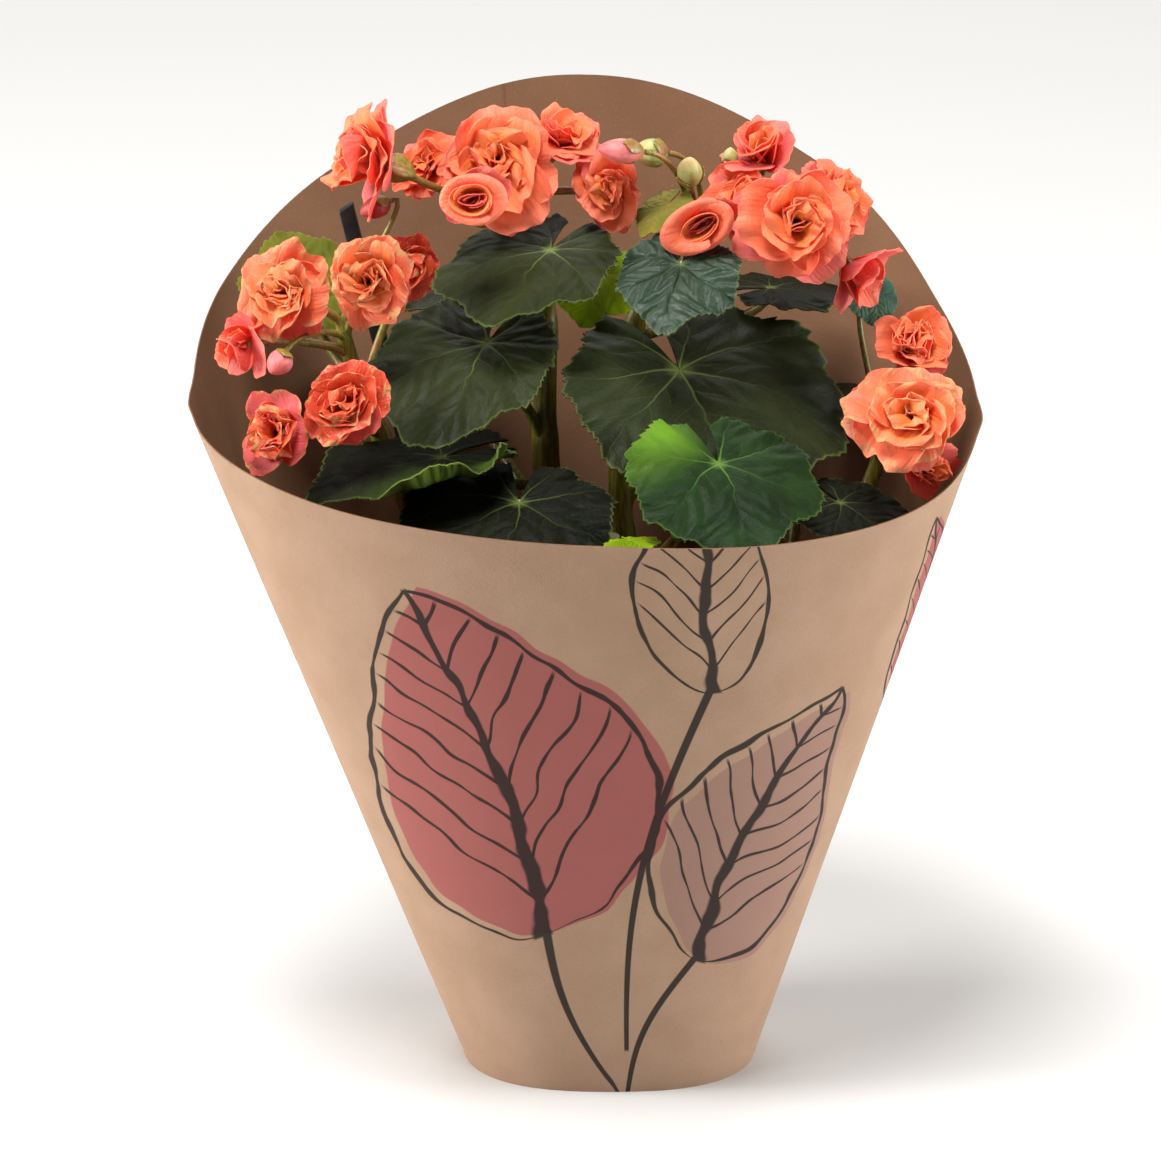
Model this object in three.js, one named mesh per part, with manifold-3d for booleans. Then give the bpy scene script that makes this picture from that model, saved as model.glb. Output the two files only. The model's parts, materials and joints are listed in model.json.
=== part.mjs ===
// A flowering pot begonia in its grower's pot, standing in an open sleeve of brown kraft paper.
// Millimetres and degrees, +Z up. The origin is on the surface that it stands on, under the middle
// of the pot, and the low front of the sleeve faces -Y.
import * as THREE from "three";
import { mergeVertices } from "three/addons/utils/BufferGeometryUtils.js";
import Module from "manifold-3d";

const wasm = await Module();
wasm.setup();

// ---------------------------------------------------------------- driving dimensions
const GAP = 0.3; // what touching pieces keep between them

const SLEEVE = {
  paper: 0.7,
  footX: 55, // half width at the surface
  footY: 43, // half depth at the surface
  flareX: 0.347, // what the half width grows for each millimetre of height
  flareY: 0.259,
  leanX: -0.031, // the open top leans a little to the left
  footPower: 2.5, // 2 is an ellipse, more is squarer
  topPower: 2.3,
  powerHeight: 250, // where topPower is reached
  powerEnd: 1.4, // the outline stops changing at this many times that height
  // rim heights every 30 degrees, from the right-hand crease over the back to the left-hand crease
  backRim: [252, 275, 318, 346, 319, 285, 258],
  // and from the left-hand crease over the front to the right-hand crease
  frontRim: [258, 253, 245, 239, 236, 240, 252],
  around: 48,
  rows: 2,
};

const POT = {
  height: 104,
  footRadius: SLEEVE.footY - SLEEVE.paper / 2 - GAP, // it just fills the sleeve's foot
  mouthRadius: 57.5,
  wall: 1.5,
  floor: 2,
  bandHeight: 12, // the stiff band under the lip
  bandProud: 1.5,
  drains: 6,
  drainRadius: 4.5,
  drainCircle: 28,
  drainSides: 8,
  sides: 28,
};

const SOIL = {
  top: 92,
  mound: 4, // how far the middle stands above the edge
  // rings of the mound, as shares of its radius and of its height
  rings: [[0.68, 0.6], [0.36, 0.9], [0, 1]],
  sides: 14,
  clod: 1.2, // how high its clods stand, and how many radians a millimetre their three waves turn
  clodWaves: [0.9, 0.8, 0.47],
};

const STAKE = { foot: [-28, 14, 30], top: [-97, 34, 321], width: 5.6 };

const LEAF = {
  thick: 0.9,
  small: 25, // leaves under this size have half the samples and a slimmer petiole
  slim: 0.6,
  columns: 24, // samples round the margin, a tooth at every other one
  tooth: 0.035, // how far a tooth stands out, as a share of the leaf's size
  opening: 170, // the blade ends this far either side of its tip, behind the petiole
  midRing: 0.55, // one smooth ring of half as many samples, between the petiole and the margin
  // the margin of a leaf of size 1: longer towards its tip, lobed all round, with a drawn-out tip
  lengthen: 0.2,
  lobes: 7,
  lobe: 0.03,
  tip: 0.1,
  tipWidth: 0.35, // in radians
  bulge: 0.105, // how much the blade domes up, as a share of the leaf's size
  cup: 0.11, // how far its margin hangs
  waves: 0.04, // how far its margin rises and falls
  waveCount: 5,
  petiole: [2.3, 1.6], // radius at the stem and at the blade
  petioleBack: 0.2, // how far the petiole comes in from behind, as a share of its reach
};

const PETAL = {
  thick: 0.8,
  cup: 0.22, // how far its edges stand up, as a share of its half width
  sector: 0.94, // the share of its sector that it fills, so that a whorl's petals stay clear
  // the half width follows this stretch of a half sine wave, raised to a power
  foot: 0.12,
  end: 0.74,
  fullness: 0.8,
  inside: 0.3, // where it starts, as a share of the core's radius
};
// From the outside in: how many petals, their length and half width as shares of the flower's
// radius, the angles from the flower's axis at which a petal starts and ends, and how far up the
// core it starts.
const WHORLS = [
  { count: 5, long: 1.02, wide: 0.58, from: 52, to: 98, foot: 0.2, turn: 0 },
  { count: 4, long: 0.8, wide: 0.46, from: 34, to: 66, foot: 0.5, turn: 0.6 },
];
const LARGE_BLOOM = 36; // flowers from this size have a bend across their outer petals
// the core, closed inner petals on the swollen end of the stalk, as shares of the flower's radius
const CORE = { foot: 2.2, radius: 0.21, height: 0.5, shoulders: [0.2, 0.6], sides: 5 };

// radius and height of a bud of size 1, from its stalk to its tip
const BUD = { profile: [[0, 0], [0.2, 0.04], [0.36, 0.4], [0.26, 0.8], [0, 1]], sides: 8 };

const ROD = {
  stem: { sides: 7, segments: 8 },
  petiole: { sides: 5, segments: 4 },
  stalk: { sides: 5, segments: 3 },
};
const STALK = {
  reach: 0.35, // how far its line keeps its first and last direction, as a share of its length
  rise: 0.6, // how much of that reach is straight up at the stem
  straight: 12, // the most that it may be at the flower
  bloom: [1.8, 1.3], // radius at the stem and at the flower
  bud: [1.4, 0.9],
};

const COLOURS = {
  kraft: 0xc49b78,
  pot: 0x7a4436,
  soil: 0x33261d,
  stake: 0x1c1b1b,
  stem: 0x6d7340,
  leaf: 0x37452f,
  youngLeaf: 0x8c9440,
  petal: 0xf0735a,
  bud: 0xe08a7c,
  greenBud: 0xa9b06a,
};

// ---------------------------------------------------------------- the plant
// Main stems stand in the soil. from is the share of the stem's length at which a leaf, a flower or
// a bud leaves it. head is the compass angle that a leaf's tip or a flower's face points to, with
// 0 at +X and -90 at the front, and tilt is how far it points up. via is a place that its stalk
// passes through, and plump is how many times wider than usual a bud is.
const STEMS = {
  middle: {
    route: [[-8, 2, 62], [-18, 6, 150], [-24, 8, 240], [-24, 16, 286], [-28, 38, 312], [-33, 36, 330]],
    radius: [6, 3.6],
    leaves: {
      upper_middle: { from: 0.79, at: [-22, 0, 315], head: -116, tilt: -14, size: 40, skew: -0.18 },
      left: { from: 0.6, at: [-45, -14, 284], head: -114, tilt: -24, size: 44, skew: -0.22 },
      behind_left: { from: 0.64, at: [-54, 46, 287], head: 120, tilt: -4, size: 38 },
      rear_left: { from: 0.46, at: [-58, 58, 256], head: 130, tilt: -4, size: 31 },
      low_left: { from: 0.54, at: [-61, -36, 248], head: -156, tilt: -4, size: 45, skew: -0.1 },
    },
    blooms: {
      1: { from: 0.98, at: [-81, 6, 345], head: 190, tilt: 22, size: 38, open: 0.85, via: [-54, 18, 325] },
      2: { from: 1, at: [-43, 15, 341], head: -88, tilt: 32, size: 42 },
      3: { from: 0.97, at: [-49, -20, 340], head: -95, tilt: 18, size: 29, open: 0.62, via: [-56, -12, 318] },
      4: { from: 1, at: [-18, 28, 346], head: -60, tilt: 60, size: 27, open: 0.8 },
      5: { from: 0.99, at: [-66, 30, 336], head: -120, tilt: 45, size: 26, open: 0.8 },
      12: { from: 0.97, at: [0, 18, 332], head: -90, tilt: 20, size: 27, open: 0.8 },
    },
  },
  left: {
    route: [[-22, 2, 62], [-46, 8, 140], [-74, 8, 212], [-92, 6, 262], [-98, 4, 284]],
    radius: [5, 2.8],
    leaves: {
      back_left: { from: 0.72, at: [-112, 42, 284], head: 112, tilt: 42, size: 29, roll: -12 },
    },
    blooms: {
      6: { from: 1, at: [-116, -12, 302], head: -112, tilt: 25, size: 34 },
      7: { from: 0.98, at: [-85, -20, 310], head: -98, tilt: 22, size: 34 },
      8: { from: 0.94, at: [-130, -16, 285], head: -140, tilt: 5, size: 27, open: 0.6 },
      9: { from: 0.85, at: [-93, -44, 270], head: -95, tilt: 30, size: 31, open: 0.8 },
      10: { from: 0.8, at: [-118, -36, 256], head: -115, tilt: 30, size: 29, open: 0.8 },
      11: { from: 0.88, at: [-73, 15, 305], head: -85, tilt: 10, size: 23, open: 0.8 },
    },
    buds: {
      dark: { from: 1, at: [-80, 10, 331], head: 195, tilt: -20, size: 12, colour: "petal" },
      left: { from: 0.97, at: [-117, -26, 285], head: -120, tilt: -30, size: 11, plump: 1.2, colour: "bud" },
    },
  },
  back: {
    route: [[6, 14, 62], [6, 30, 150], [4, 40, 225], [8, 42, 270], [20, 40, 300], [36, 32, 316]],
    radius: [6, 3.2],
    leaves: {
      big_right: { from: 0.62, at: [25, -8, 272], head: -56, tilt: -32, size: 70, long: 0.79, skew: 0.15 },
      rear_middle: { from: 0.5, at: [30, 58, 248], head: 80, tilt: -4, size: 35 },
      behind_right: { from: 0.75, at: [60, 52, 285], head: 40, tilt: -4, size: 34 },
      young_middle: { from: 0.8, at: [-3, 29, 297], head: -112, tilt: -35, size: 20, young: true },
      crinkled: { from: 0.87, at: [25, -14, 314], head: -100, tilt: -28, size: 27, waves: 0.1, bulge: 0.18 },
      bract: { from: 0.95, at: [21, 8, 330], head: -140, tilt: -30, size: 14, young: true },
    },
    blooms: {
      16: { from: 1, at: [35, -4, 327], head: -110, tilt: 5, size: 33, open: 0.6 },
      17: { from: 0.99, at: [66, -4, 325], head: -88, tilt: 22, size: 41 },
      18: { from: 1, at: [56, 24, 342], head: -110, tilt: 60, size: 27, open: 0.6 },
      19: { from: 0.99, at: [78, 14, 329], head: -40, tilt: 30, size: 29, open: 0.9 },
      20: { from: 0.97, at: [86, 8, 308], head: -40, tilt: -35, size: 29, open: 0.6 },
      27: { from: 1, at: [50, 14, 329], head: -90, tilt: 30, size: 26, open: 0.9 },
    },
    buds: {
      pink: { from: 0.97, at: [12, 4, 351], head: 185, tilt: 5, size: 17, plump: 0.8, colour: "bud" },
      round: { from: 0.99, at: [21, 20, 346], head: 185, tilt: 5, size: 13, plump: 1.2, colour: "greenBud" },
      tipped: { from: 0.99, at: [29, 11, 336], head: -120, tilt: 70, size: 13, colour: "greenBud" },
      pale: { from: 1, at: [44, 20, 340], head: 100, tilt: 70, size: 8, plump: 1.1, colour: "greenBud" },
    },
  },
  right: {
    route: [[26, -2, 62], [58, 2, 140], [88, 6, 205], [101, 6, 240], [104, 8, 256]],
    radius: [5, 2.6],
    leaves: {
      low_right: { from: 0.62, at: [83, -34, 230], head: -42, tilt: -12, size: 29 },
      rear_right: { from: 0.48, at: [80, 46, 246], head: 25, tilt: -4, size: 28 },
      young_right: { from: 0.9, at: [95, 22, 294], head: -60, tilt: -50, size: 13, young: true },
    },
    blooms: {
      21: { from: 1, at: [109, 4, 275], head: -70, tilt: 40, size: 31, open: 0.8 },
      22: { from: 0.96, at: [108, -40, 265], head: -100, tilt: 28, size: 38 },
      23: { from: 0.88, at: [110, -32, 244], head: -60, tilt: -5, size: 24, open: 0.8 },
    },
  },
  front: {
    route: [[4, -14, 62], [5, -30, 140], [2, -38, 200], [0, -42, 220]],
    radius: [4.5, 2.8],
    leaves: {
      front_right: {
        from: 0.84, at: [38, -61, 254], head: -70, tilt: -24, size: 43, long: 0.86, via: [27, -69, 232],
      },
      front: { from: 0.95, at: [-33, -54, 237], head: -95, tilt: -22, size: 48, long: 0.8, skew: -0.12 },
      rim: { from: 0.99, at: [6, -80, 232], head: -60, tilt: 10, size: 12, young: true, via: [12, -60, 214] },
    },
  },
};

// ---------------------------------------------------------------- shared geometry
const rad = THREE.MathUtils.degToRad;
const lerp = THREE.MathUtils.lerp;
const vec = (place) => new THREE.Vector3(...place);

function toSolid(geometry) {
  const bare = new THREE.BufferGeometry();
  bare.setAttribute("position", geometry.attributes.position);
  bare.setIndex(geometry.index);
  const merged = mergeVertices(bare, 1e-4);
  const vertProperties = Float32Array.from(merged.attributes.position.array);
  const triVerts = Uint32Array.from(merged.index.array);
  return new wasm.Manifold(new wasm.Mesh({ numProp: 3, vertProperties, triVerts }));
}

function toGeometry(solid) {
  const mesh = solid.getMesh();
  const geometry = new THREE.BufferGeometry();
  geometry.setAttribute("position", new THREE.BufferAttribute(mesh.vertProperties, 3));
  geometry.setIndex(new THREE.BufferAttribute(mesh.triVerts, 1));
  geometry.computeVertexNormals();
  return geometry;
}

const join = (solids) => solids.reduce((all, one) => all.add(one));

// Cutting a seat can leave a scrap beyond it, so only the largest body is kept.
function largestBody(solid) {
  return solid.decompose().reduce((best, one) => (one.volume() > best.volume() ? one : best));
}

// A closed body from a surface and a thickness. point(u, v) is a place on the surface, with u across
// and v along, both from 0 to 1, and faceOut(u, v) is the way that its outer face looks. Each row is
// its v and how many columns it has: as many as the row before or twice as many, and a first row of
// 0 is a single point. Both faces are split into the same triangles. A ring joins its last column
// to its first.
function sheet({ point, faceOut, rows, thick, ring = false }) {
  const places = [];
  const starts = [];
  for (const [v, columns] of rows) {
    starts.push(places.length / 6);
    const count = ring ? columns : columns + 1;
    for (let i = 0; i < count; i++) {
      const u = columns === 0 ? 0.5 : i / columns;
      const offset = faceOut(u, v).multiplyScalar(thick / 2);
      const middle = point(u, v, i);
      places.push(...middle.clone().add(offset).toArray(), ...middle.sub(offset).toArray());
    }
  }
  const corner = (i, j) => {
    const columns = rows[j][1];
    return starts[j] + (columns === 0 ? 0 : ring ? i % columns : i);
  };
  const triangles = [];
  const face = (a, b, c) => triangles.push(2 * a, 2 * b, 2 * c, 2 * c + 1, 2 * b + 1, 2 * a + 1);
  const wall = (a, b) => triangles.push(2 * a, 2 * a + 1, 2 * b + 1, 2 * a, 2 * b + 1, 2 * b);
  const last = rows.length - 1;
  for (let j = 0; j < last; j++) {
    const [near, far] = [rows[j][1], rows[j + 1][1]];
    if (near === 0) {
      for (let i = 0; i < far; i++) {
        face(corner(0, j), corner(i + 1, j + 1), corner(i, j + 1));
      }
    }
    const split = far / near;
    for (let i = 0; i < near; i++) {
      face(corner(i, j), corner(i + 1, j), corner(split * i + split, j + 1));
      for (let k = split * i; k < split * (i + 1); k++) {
        face(corner(i, j), corner(k + 1, j + 1), corner(k, j + 1));
      }
    }
    if (!ring) {
      wall(corner(0, j + 1), corner(0, j));
      wall(corner(near, j), corner(far, j + 1));
    }
  }
  for (let i = 0; i < rows[last][1]; i++) {
    wall(corner(i + 1, last), corner(i, last));
  }
  for (let i = 0; i < rows[0][1]; i++) {
    wall(corner(i, 0), corner(i + 1, 0));
  }
  const geometry = new THREE.BufferGeometry();
  geometry.setAttribute("position", new THREE.Float32BufferAttribute(places, 3));
  geometry.setIndex(triangles);
  return geometry;
}

const evenRows = (count, columns) => Array.from({ length: count + 1 }, (_, j) => [j / count, columns]);

// The way that a surface given by point(u, v) faces, from its slopes.
function facing(point) {
  const step = 0.001;
  return (u, v) => {
    const along = Math.min(Math.max(v, 0.05), 1 - step);
    const du = point(u + step, along).sub(point(u - step, along));
    const dv = point(u, along + step).sub(point(u, along - step));
    return du.cross(dv).normalize();
  };
}

// A round rod along a curve, from radii[0] to radii[1]. grow makes it larger on every side.
function rod(curve, radii, { sides, segments }, grow = 0) {
  const geometry = new THREE.CylinderGeometry(1, 1, 1, sides, segments);
  const frames = curve.computeFrenetFrames(segments);
  const place = geometry.attributes.position;
  const centre = new THREE.Vector3();
  for (let i = 0; i < place.count; i++) {
    const share = place.getY(i) + 0.5;
    const k = Math.round(share * segments);
    const radius = lerp(radii[0], radii[1], share) + grow;
    const beyond = k === 0 ? -grow : k === segments ? grow : 0;
    curve.getPointAt(k / segments, centre);
    centre.addScaledVector(frames.normals[k], place.getX(i) * radius);
    centre.addScaledVector(frames.binormals[k], -place.getZ(i) * radius);
    centre.addScaledVector(frames.tangents[k], beyond);
    place.setXYZ(i, centre.x, centre.y, centre.z);
  }
  return toSolid(geometry);
}

// The way that a leaf's tip or a flower's face points.
function heading({ head, tilt }) {
  const [h, t] = [rad(head), rad(tilt)];
  return new THREE.Vector3(Math.cos(h) * Math.cos(t), Math.sin(h) * Math.cos(t), Math.sin(t));
}

const group = new THREE.Group();

function addPiece(name, geometry, colour, roughness, turn) {
  const material = new THREE.MeshStandardMaterial({ color: COLOURS[colour], roughness, metalness: 0 });
  const mesh = new THREE.Mesh(geometry, material);
  mesh.name = name;
  if (turn) {
    mesh.applyMatrix4(turn);
  }
  group.add(mesh);
}

// ---------------------------------------------------------------- sleeve
// A smooth line through rim heights that are evenly spaced over half a turn.
function rimLine(heights) {
  const line = new THREE.SplineCurve(heights.map((height, i) => new THREE.Vector2(i * 30, height)));
  return (share) => line.getPoint(share).y;
}
const backRim = rimLine(SLEEVE.backRim);
const frontRim = rimLine(SLEEVE.frontRim);
const rimHeight = (turn) => (turn <= 0.5 ? backRim(turn * 2) : frontRim(turn * 2 - 1));

function sleeveOutline(turn, z) {
  const angle = 2 * Math.PI * turn;
  const blend = Math.min(z / SLEEVE.powerHeight, SLEEVE.powerEnd);
  const power = 2 / lerp(SLEEVE.footPower, SLEEVE.topPower, blend);
  const bow = (value) => Math.sign(value) * Math.abs(value) ** power;
  const x = (SLEEVE.footX + SLEEVE.flareX * z) * bow(Math.cos(angle)) + SLEEVE.leanX * z;
  const y = (SLEEVE.footY + SLEEVE.flareY * z) * bow(Math.sin(angle));
  return new THREE.Vector3(x, y, z);
}

function buildSleeve() {
  const point = (u, v) => {
    const turn = ((u % 1) + 1) % 1;
    return sleeveOutline(turn, rimHeight(turn) * v);
  };
  // paper thickness is laid level, so that the foot stays flat
  const faceOut = (u, v) => {
    const z = rimHeight(u) * v;
    const before = sleeveOutline(u - 0.002, z);
    const after = sleeveOutline(u + 0.002, z);
    return new THREE.Vector3(after.y - before.y, before.x - after.x, 0).normalize();
  };
  const rows = evenRows(SLEEVE.rows, SLEEVE.around);
  addPiece("sleeve", sheet({ point, faceOut, rows, thick: SLEEVE.paper, ring: true }), "kraft", 0.85);
}

// ---------------------------------------------------------------- pot and soil
const potRadius = (z) => lerp(POT.footRadius, POT.mouthRadius, z / POT.height);

function buildPot() {
  const bandFoot = POT.height - POT.bandHeight;
  const profile = [
    [0, 0],
    [POT.footRadius, 0],
    [potRadius(bandFoot), bandFoot],
    [potRadius(bandFoot) + POT.bandProud, bandFoot],
    [POT.mouthRadius + POT.bandProud, POT.height],
    [POT.mouthRadius - POT.wall, POT.height],
    [potRadius(POT.floor) - POT.wall, POT.floor],
    [0, POT.floor],
  ].map(([radius, z]) => new THREE.Vector2(radius, z));
  let pot = toSolid(new THREE.LatheGeometry(profile, POT.sides).rotateX(Math.PI / 2));
  for (let i = 0; i < POT.drains; i++) {
    const drain = new THREE.CylinderGeometry(POT.drainRadius, POT.drainRadius, 3 * POT.floor, POT.drainSides);
    drain.rotateX(Math.PI / 2);
    drain.translate(POT.drainCircle, 0, POT.floor / 2);
    drain.rotateZ((i / POT.drains) * 2 * Math.PI);
    pot = pot.subtract(toSolid(drain));
  }
  addPiece("pot", toGeometry(pot), "pot", 0.45);
}

function buildSoil(stemSolids) {
  const inside = (z) => potRadius(z) - POT.wall - GAP;
  const foot = POT.floor + GAP;
  const edge = inside(SOIL.top) / Math.cos(Math.PI / POT.sides) - 2 * GAP;
  const profile = [
    [0, foot],
    [inside(foot) - GAP, foot],
    [edge, SOIL.top],
    ...SOIL.rings.map(([out, up]) => [edge * out, SOIL.top + SOIL.mound * up]),
  ].map(([radius, z]) => new THREE.Vector2(radius, z));
  const geometry = new THREE.LatheGeometry(profile, SOIL.sides).rotateX(Math.PI / 2);
  const place = geometry.attributes.position;
  for (let i = 0; i < place.count; i++) {
    const [x, y, z] = [place.getX(i), place.getY(i), place.getZ(i)];
    const [acrossX, acrossY, slanted] = SOIL.clodWaves;
    const clods = Math.sin(x * acrossX + 1) * Math.cos(y * acrossY) + Math.sin((x + y) * slanted);
    const inner = z > SOIL.top + 0.1 ? 1 : 0;
    place.setZ(i, z + SOIL.clod * clods * inner);
  }
  let soil = toSolid(geometry);
  for (const stem of stemSolids) {
    soil = soil.subtract(stem);
  }
  addPiece("soil", toGeometry(soil), "soil", 0.95);
}

// A plain square stick that the left-hand stems lean on.
function stakeSolid(grow) {
  const line = new THREE.LineCurve3(vec(STAKE.foot), vec(STAKE.top));
  const half = STAKE.width / Math.SQRT2;
  return rod(line, [half, half], { sides: 4, segments: 1 }, grow);
}

// ---------------------------------------------------------------- leaves
const OPENING = rad(LEAF.opening);

// How far the margin of a leaf of size 1 is from its petiole, phi round from the tip.
function marginRadius(phi, skew) {
  const outline = (1 - LEAF.lengthen + LEAF.lengthen * Math.cos(phi)) * (1 + skew * Math.sin(phi));
  const lobed = outline * (1 + LEAF.lobe * Math.cos(LEAF.lobes * phi));
  return lobed + LEAF.tip * Math.exp(-((phi / LEAF.tipWidth) ** 2));
}

// How high the blade of a leaf of size 1 stands there, above the plane of its petiole's end.
function bladeHeight(reach, phi, { bulge = LEAF.bulge, waves = LEAF.waves }) {
  const wavy = waves * reach ** 3 * Math.sin(LEAF.waveCount * phi);
  return bulge * reach * (1 - reach) - LEAF.cup * reach ** 2 + wavy;
}

function leafAxes(leaf) {
  const tip = heading(leaf);
  const side = new THREE.Vector3(-Math.sin(rad(leaf.head)), Math.cos(rad(leaf.head)), 0);
  side.applyAxisAngle(tip, rad(leaf.roll ?? 0));
  return new THREE.Matrix4().makeBasis(tip, side, tip.clone().cross(side)).setPosition(...leaf.at);
}

function buildLeaf(name, leaf, stemCurve, fatStem) {
  const small = leaf.size < LEAF.small;
  const columns = small ? LEAF.columns / 2 : LEAF.columns;
  const point = (u, v, i) => {
    const phi = OPENING * (2 * u - 1);
    const edge = marginRadius(phi, leaf.skew ?? 0);
    const tooth = v === 1 && i !== undefined ? LEAF.tooth * (i % 2 ? 1 : -1) : 0;
    const reach = edge * v;
    const out = (reach + tooth) * leaf.size;
    const height = bladeHeight(reach, phi, leaf) * leaf.size;
    return new THREE.Vector3(out * Math.cos(phi) * (leaf.long ?? 1), out * Math.sin(phi), height);
  };
  const axes = leafAxes(leaf);
  const rows = [[0, 0], [LEAF.midRing, columns / 2], [1, columns]];
  const blade = sheet({ point, faceOut: facing(point), rows, thick: LEAF.thick }).applyMatrix4(axes);
  const [start, end] = [stemCurve.getPointAt(leaf.from), vec(leaf.at)];
  const reach = start.distanceTo(end) * STALK.reach;
  const rise = start.clone().add(new THREE.Vector3(0, 0, reach));
  const under = new THREE.Vector3(-reach * LEAF.petioleBack, 0, -reach).applyMatrix4(axes);
  const petioleCurve = new THREE.CubicBezierCurve3(start, leaf.via ? vec(leaf.via) : rise, under, end);
  const radii = LEAF.petiole.map((radius) => radius * (small ? LEAF.slim : 1));
  const petiole = rod(petioleCurve, radii, ROD.petiole);
  const whole = toSolid(blade).add(petiole).subtract(fatStem);
  addPiece(`leaf_${name}`, toGeometry(largestBody(whole)), leaf.young ? "youngLeaf" : "leaf", 0.5);
}

// ---------------------------------------------------------------- flowers and buds
// A flower's own frame: its foot at 0, its face looking along +Z.
function flowerAxes(flower) {
  const face = heading(flower);
  const across = new THREE.Vector3(0, 0, 1).cross(face).normalize();
  return new THREE.Matrix4().makeBasis(across, face.clone().cross(across), face).setPosition(...flower.at);
}

function petalSolid(radius, open, whorl, k, bends) {
  const [from, to] = [rad(whorl.from * open), rad(whorl.to * open)];
  const long = radius * whorl.long;
  const wide = long * whorl.wide;
  const bend = to - from;
  const sector = Math.tan(Math.PI / whorl.count) * PETAL.sector;
  const inside = radius * CORE.radius * PETAL.inside;
  const foot = radius * CORE.height * whorl.foot;
  const point = (u, v) => {
    const lean = from + bend * v;
    const side = 2 * u - 1;
    const out = inside + (long * (Math.cos(from) - Math.cos(lean))) / bend;
    const up = foot + (long * (Math.sin(lean) - Math.sin(from))) / bend;
    const width = Math.sin(Math.PI * lerp(PETAL.foot, PETAL.end, v)) ** PETAL.fullness;
    const half = Math.min(wide * width, out * sector);
    const cup = PETAL.cup * side ** 2 * half;
    return new THREE.Vector3(out - cup * Math.cos(lean), side * half, up + cup * Math.sin(lean));
  };
  const petal = sheet({ point, faceOut: facing(point), rows: evenRows(bends, 2), thick: PETAL.thick });
  return toSolid(petal.rotateZ((2 * Math.PI * (k + whorl.turn)) / whorl.count));
}

function buildBloom(name, bloom) {
  const radius = bloom.size / 2;
  const [wide, high] = [radius * CORE.radius, radius * CORE.height];
  const shoulders = CORE.shoulders.map((share) => [wide, high * share]);
  const profile = [[0, 0], [CORE.foot, 0], ...shoulders, [0, high]].map(
    ([out, up]) => new THREE.Vector2(out, up),
  );
  const parts = [toSolid(new THREE.LatheGeometry(profile, CORE.sides).rotateX(Math.PI / 2))];
  for (const [layer, whorl] of WHORLS.entries()) {
    const bends = bloom.size >= LARGE_BLOOM && layer === 0 ? 2 : 1;
    for (let k = 0; k < whorl.count; k++) {
      parts.push(petalSolid(radius, bloom.open ?? 1, whorl, k, bends));
    }
  }
  const number = name.padStart(2, "0");
  addPiece(`bloom_${number}`, toGeometry(join(parts)), "petal", 0.6, flowerAxes(bloom));
}

function buildBud(name, bud) {
  const wide = bud.size * (bud.plump ?? 1);
  const profile = BUD.profile.map(([radius, height]) => new THREE.Vector2(radius * wide, height * bud.size));
  const geometry = new THREE.LatheGeometry(profile, BUD.sides).rotateX(Math.PI / 2);
  addPiece(`bud_${name}`, toGeometry(toSolid(geometry)), bud.colour, 0.5, flowerAxes(bud));
}

// ---------------------------------------------------------------- stems
// A flower's stalk leaves the stem upwards and meets the flower along its axis, a gap short of it.
function stalkSolid(stemCurve, organ, radii) {
  const start = stemCurve.getPointAt(organ.from);
  const face = heading(organ);
  const end = vec(organ.at).addScaledVector(face, -GAP);
  const reach = start.distanceTo(end) * STALK.reach;
  const near = end.clone().addScaledVector(face, -Math.min(reach, STALK.straight));
  const up = new THREE.Vector3(0, 0, reach * STALK.rise);
  const rise = organ.via ? vec(organ.via) : start.clone().add(up);
  return rod(new THREE.CubicBezierCurve3(start, rise, near, end), radii, ROD.stalk);
}

function buildStem(name, stem, curve) {
  const parts = [rod(curve, stem.radius, ROD.stem)];
  for (const bloom of Object.values(stem.blooms ?? {})) {
    parts.push(stalkSolid(curve, bloom, STALK.bloom));
  }
  for (const bud of Object.values(stem.buds ?? {})) {
    parts.push(stalkSolid(curve, bud, STALK.bud));
  }
  addPiece(`stem_${name}`, toGeometry(join(parts)), "stem", 0.5);
}

// ---------------------------------------------------------------- assembly
buildSleeve();
buildPot();
const standing = [stakeSolid(GAP)];
for (const [name, stem] of Object.entries(STEMS)) {
  const curve = new THREE.CatmullRomCurve3(stem.route.map(vec));
  const fatStem = rod(curve, stem.radius, ROD.stem, GAP);
  standing.push(fatStem);
  buildStem(name, stem, curve);
  for (const [key, leaf] of Object.entries(stem.leaves)) {
    buildLeaf(key, leaf, curve, fatStem);
  }
  for (const [key, bloom] of Object.entries(stem.blooms ?? {})) {
    buildBloom(key, bloom);
  }
  for (const [key, bud] of Object.entries(stem.buds ?? {})) {
    buildBud(key, bud);
  }
}
buildSoil(standing);
addPiece("support_stake", toGeometry(stakeSolid(0)), "stake", 0.4);

export default group;
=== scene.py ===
# %% [markdown]
# # A potted begonia in a kraft paper sleeve
#
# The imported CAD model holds 54 plain solids: a paper sleeve, a pot with its soil, a stick, five
# stems with their flower stalks, 18 leaves, 21 double flowers and 6 buds. This notebook gives
# each of them the finer shape and the finish of the real thing, in the place where the solid is.

# %% Load the frame
import json
import math
import random

import bpy
import numpy as np
from mathutils import Matrix, Vector

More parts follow.
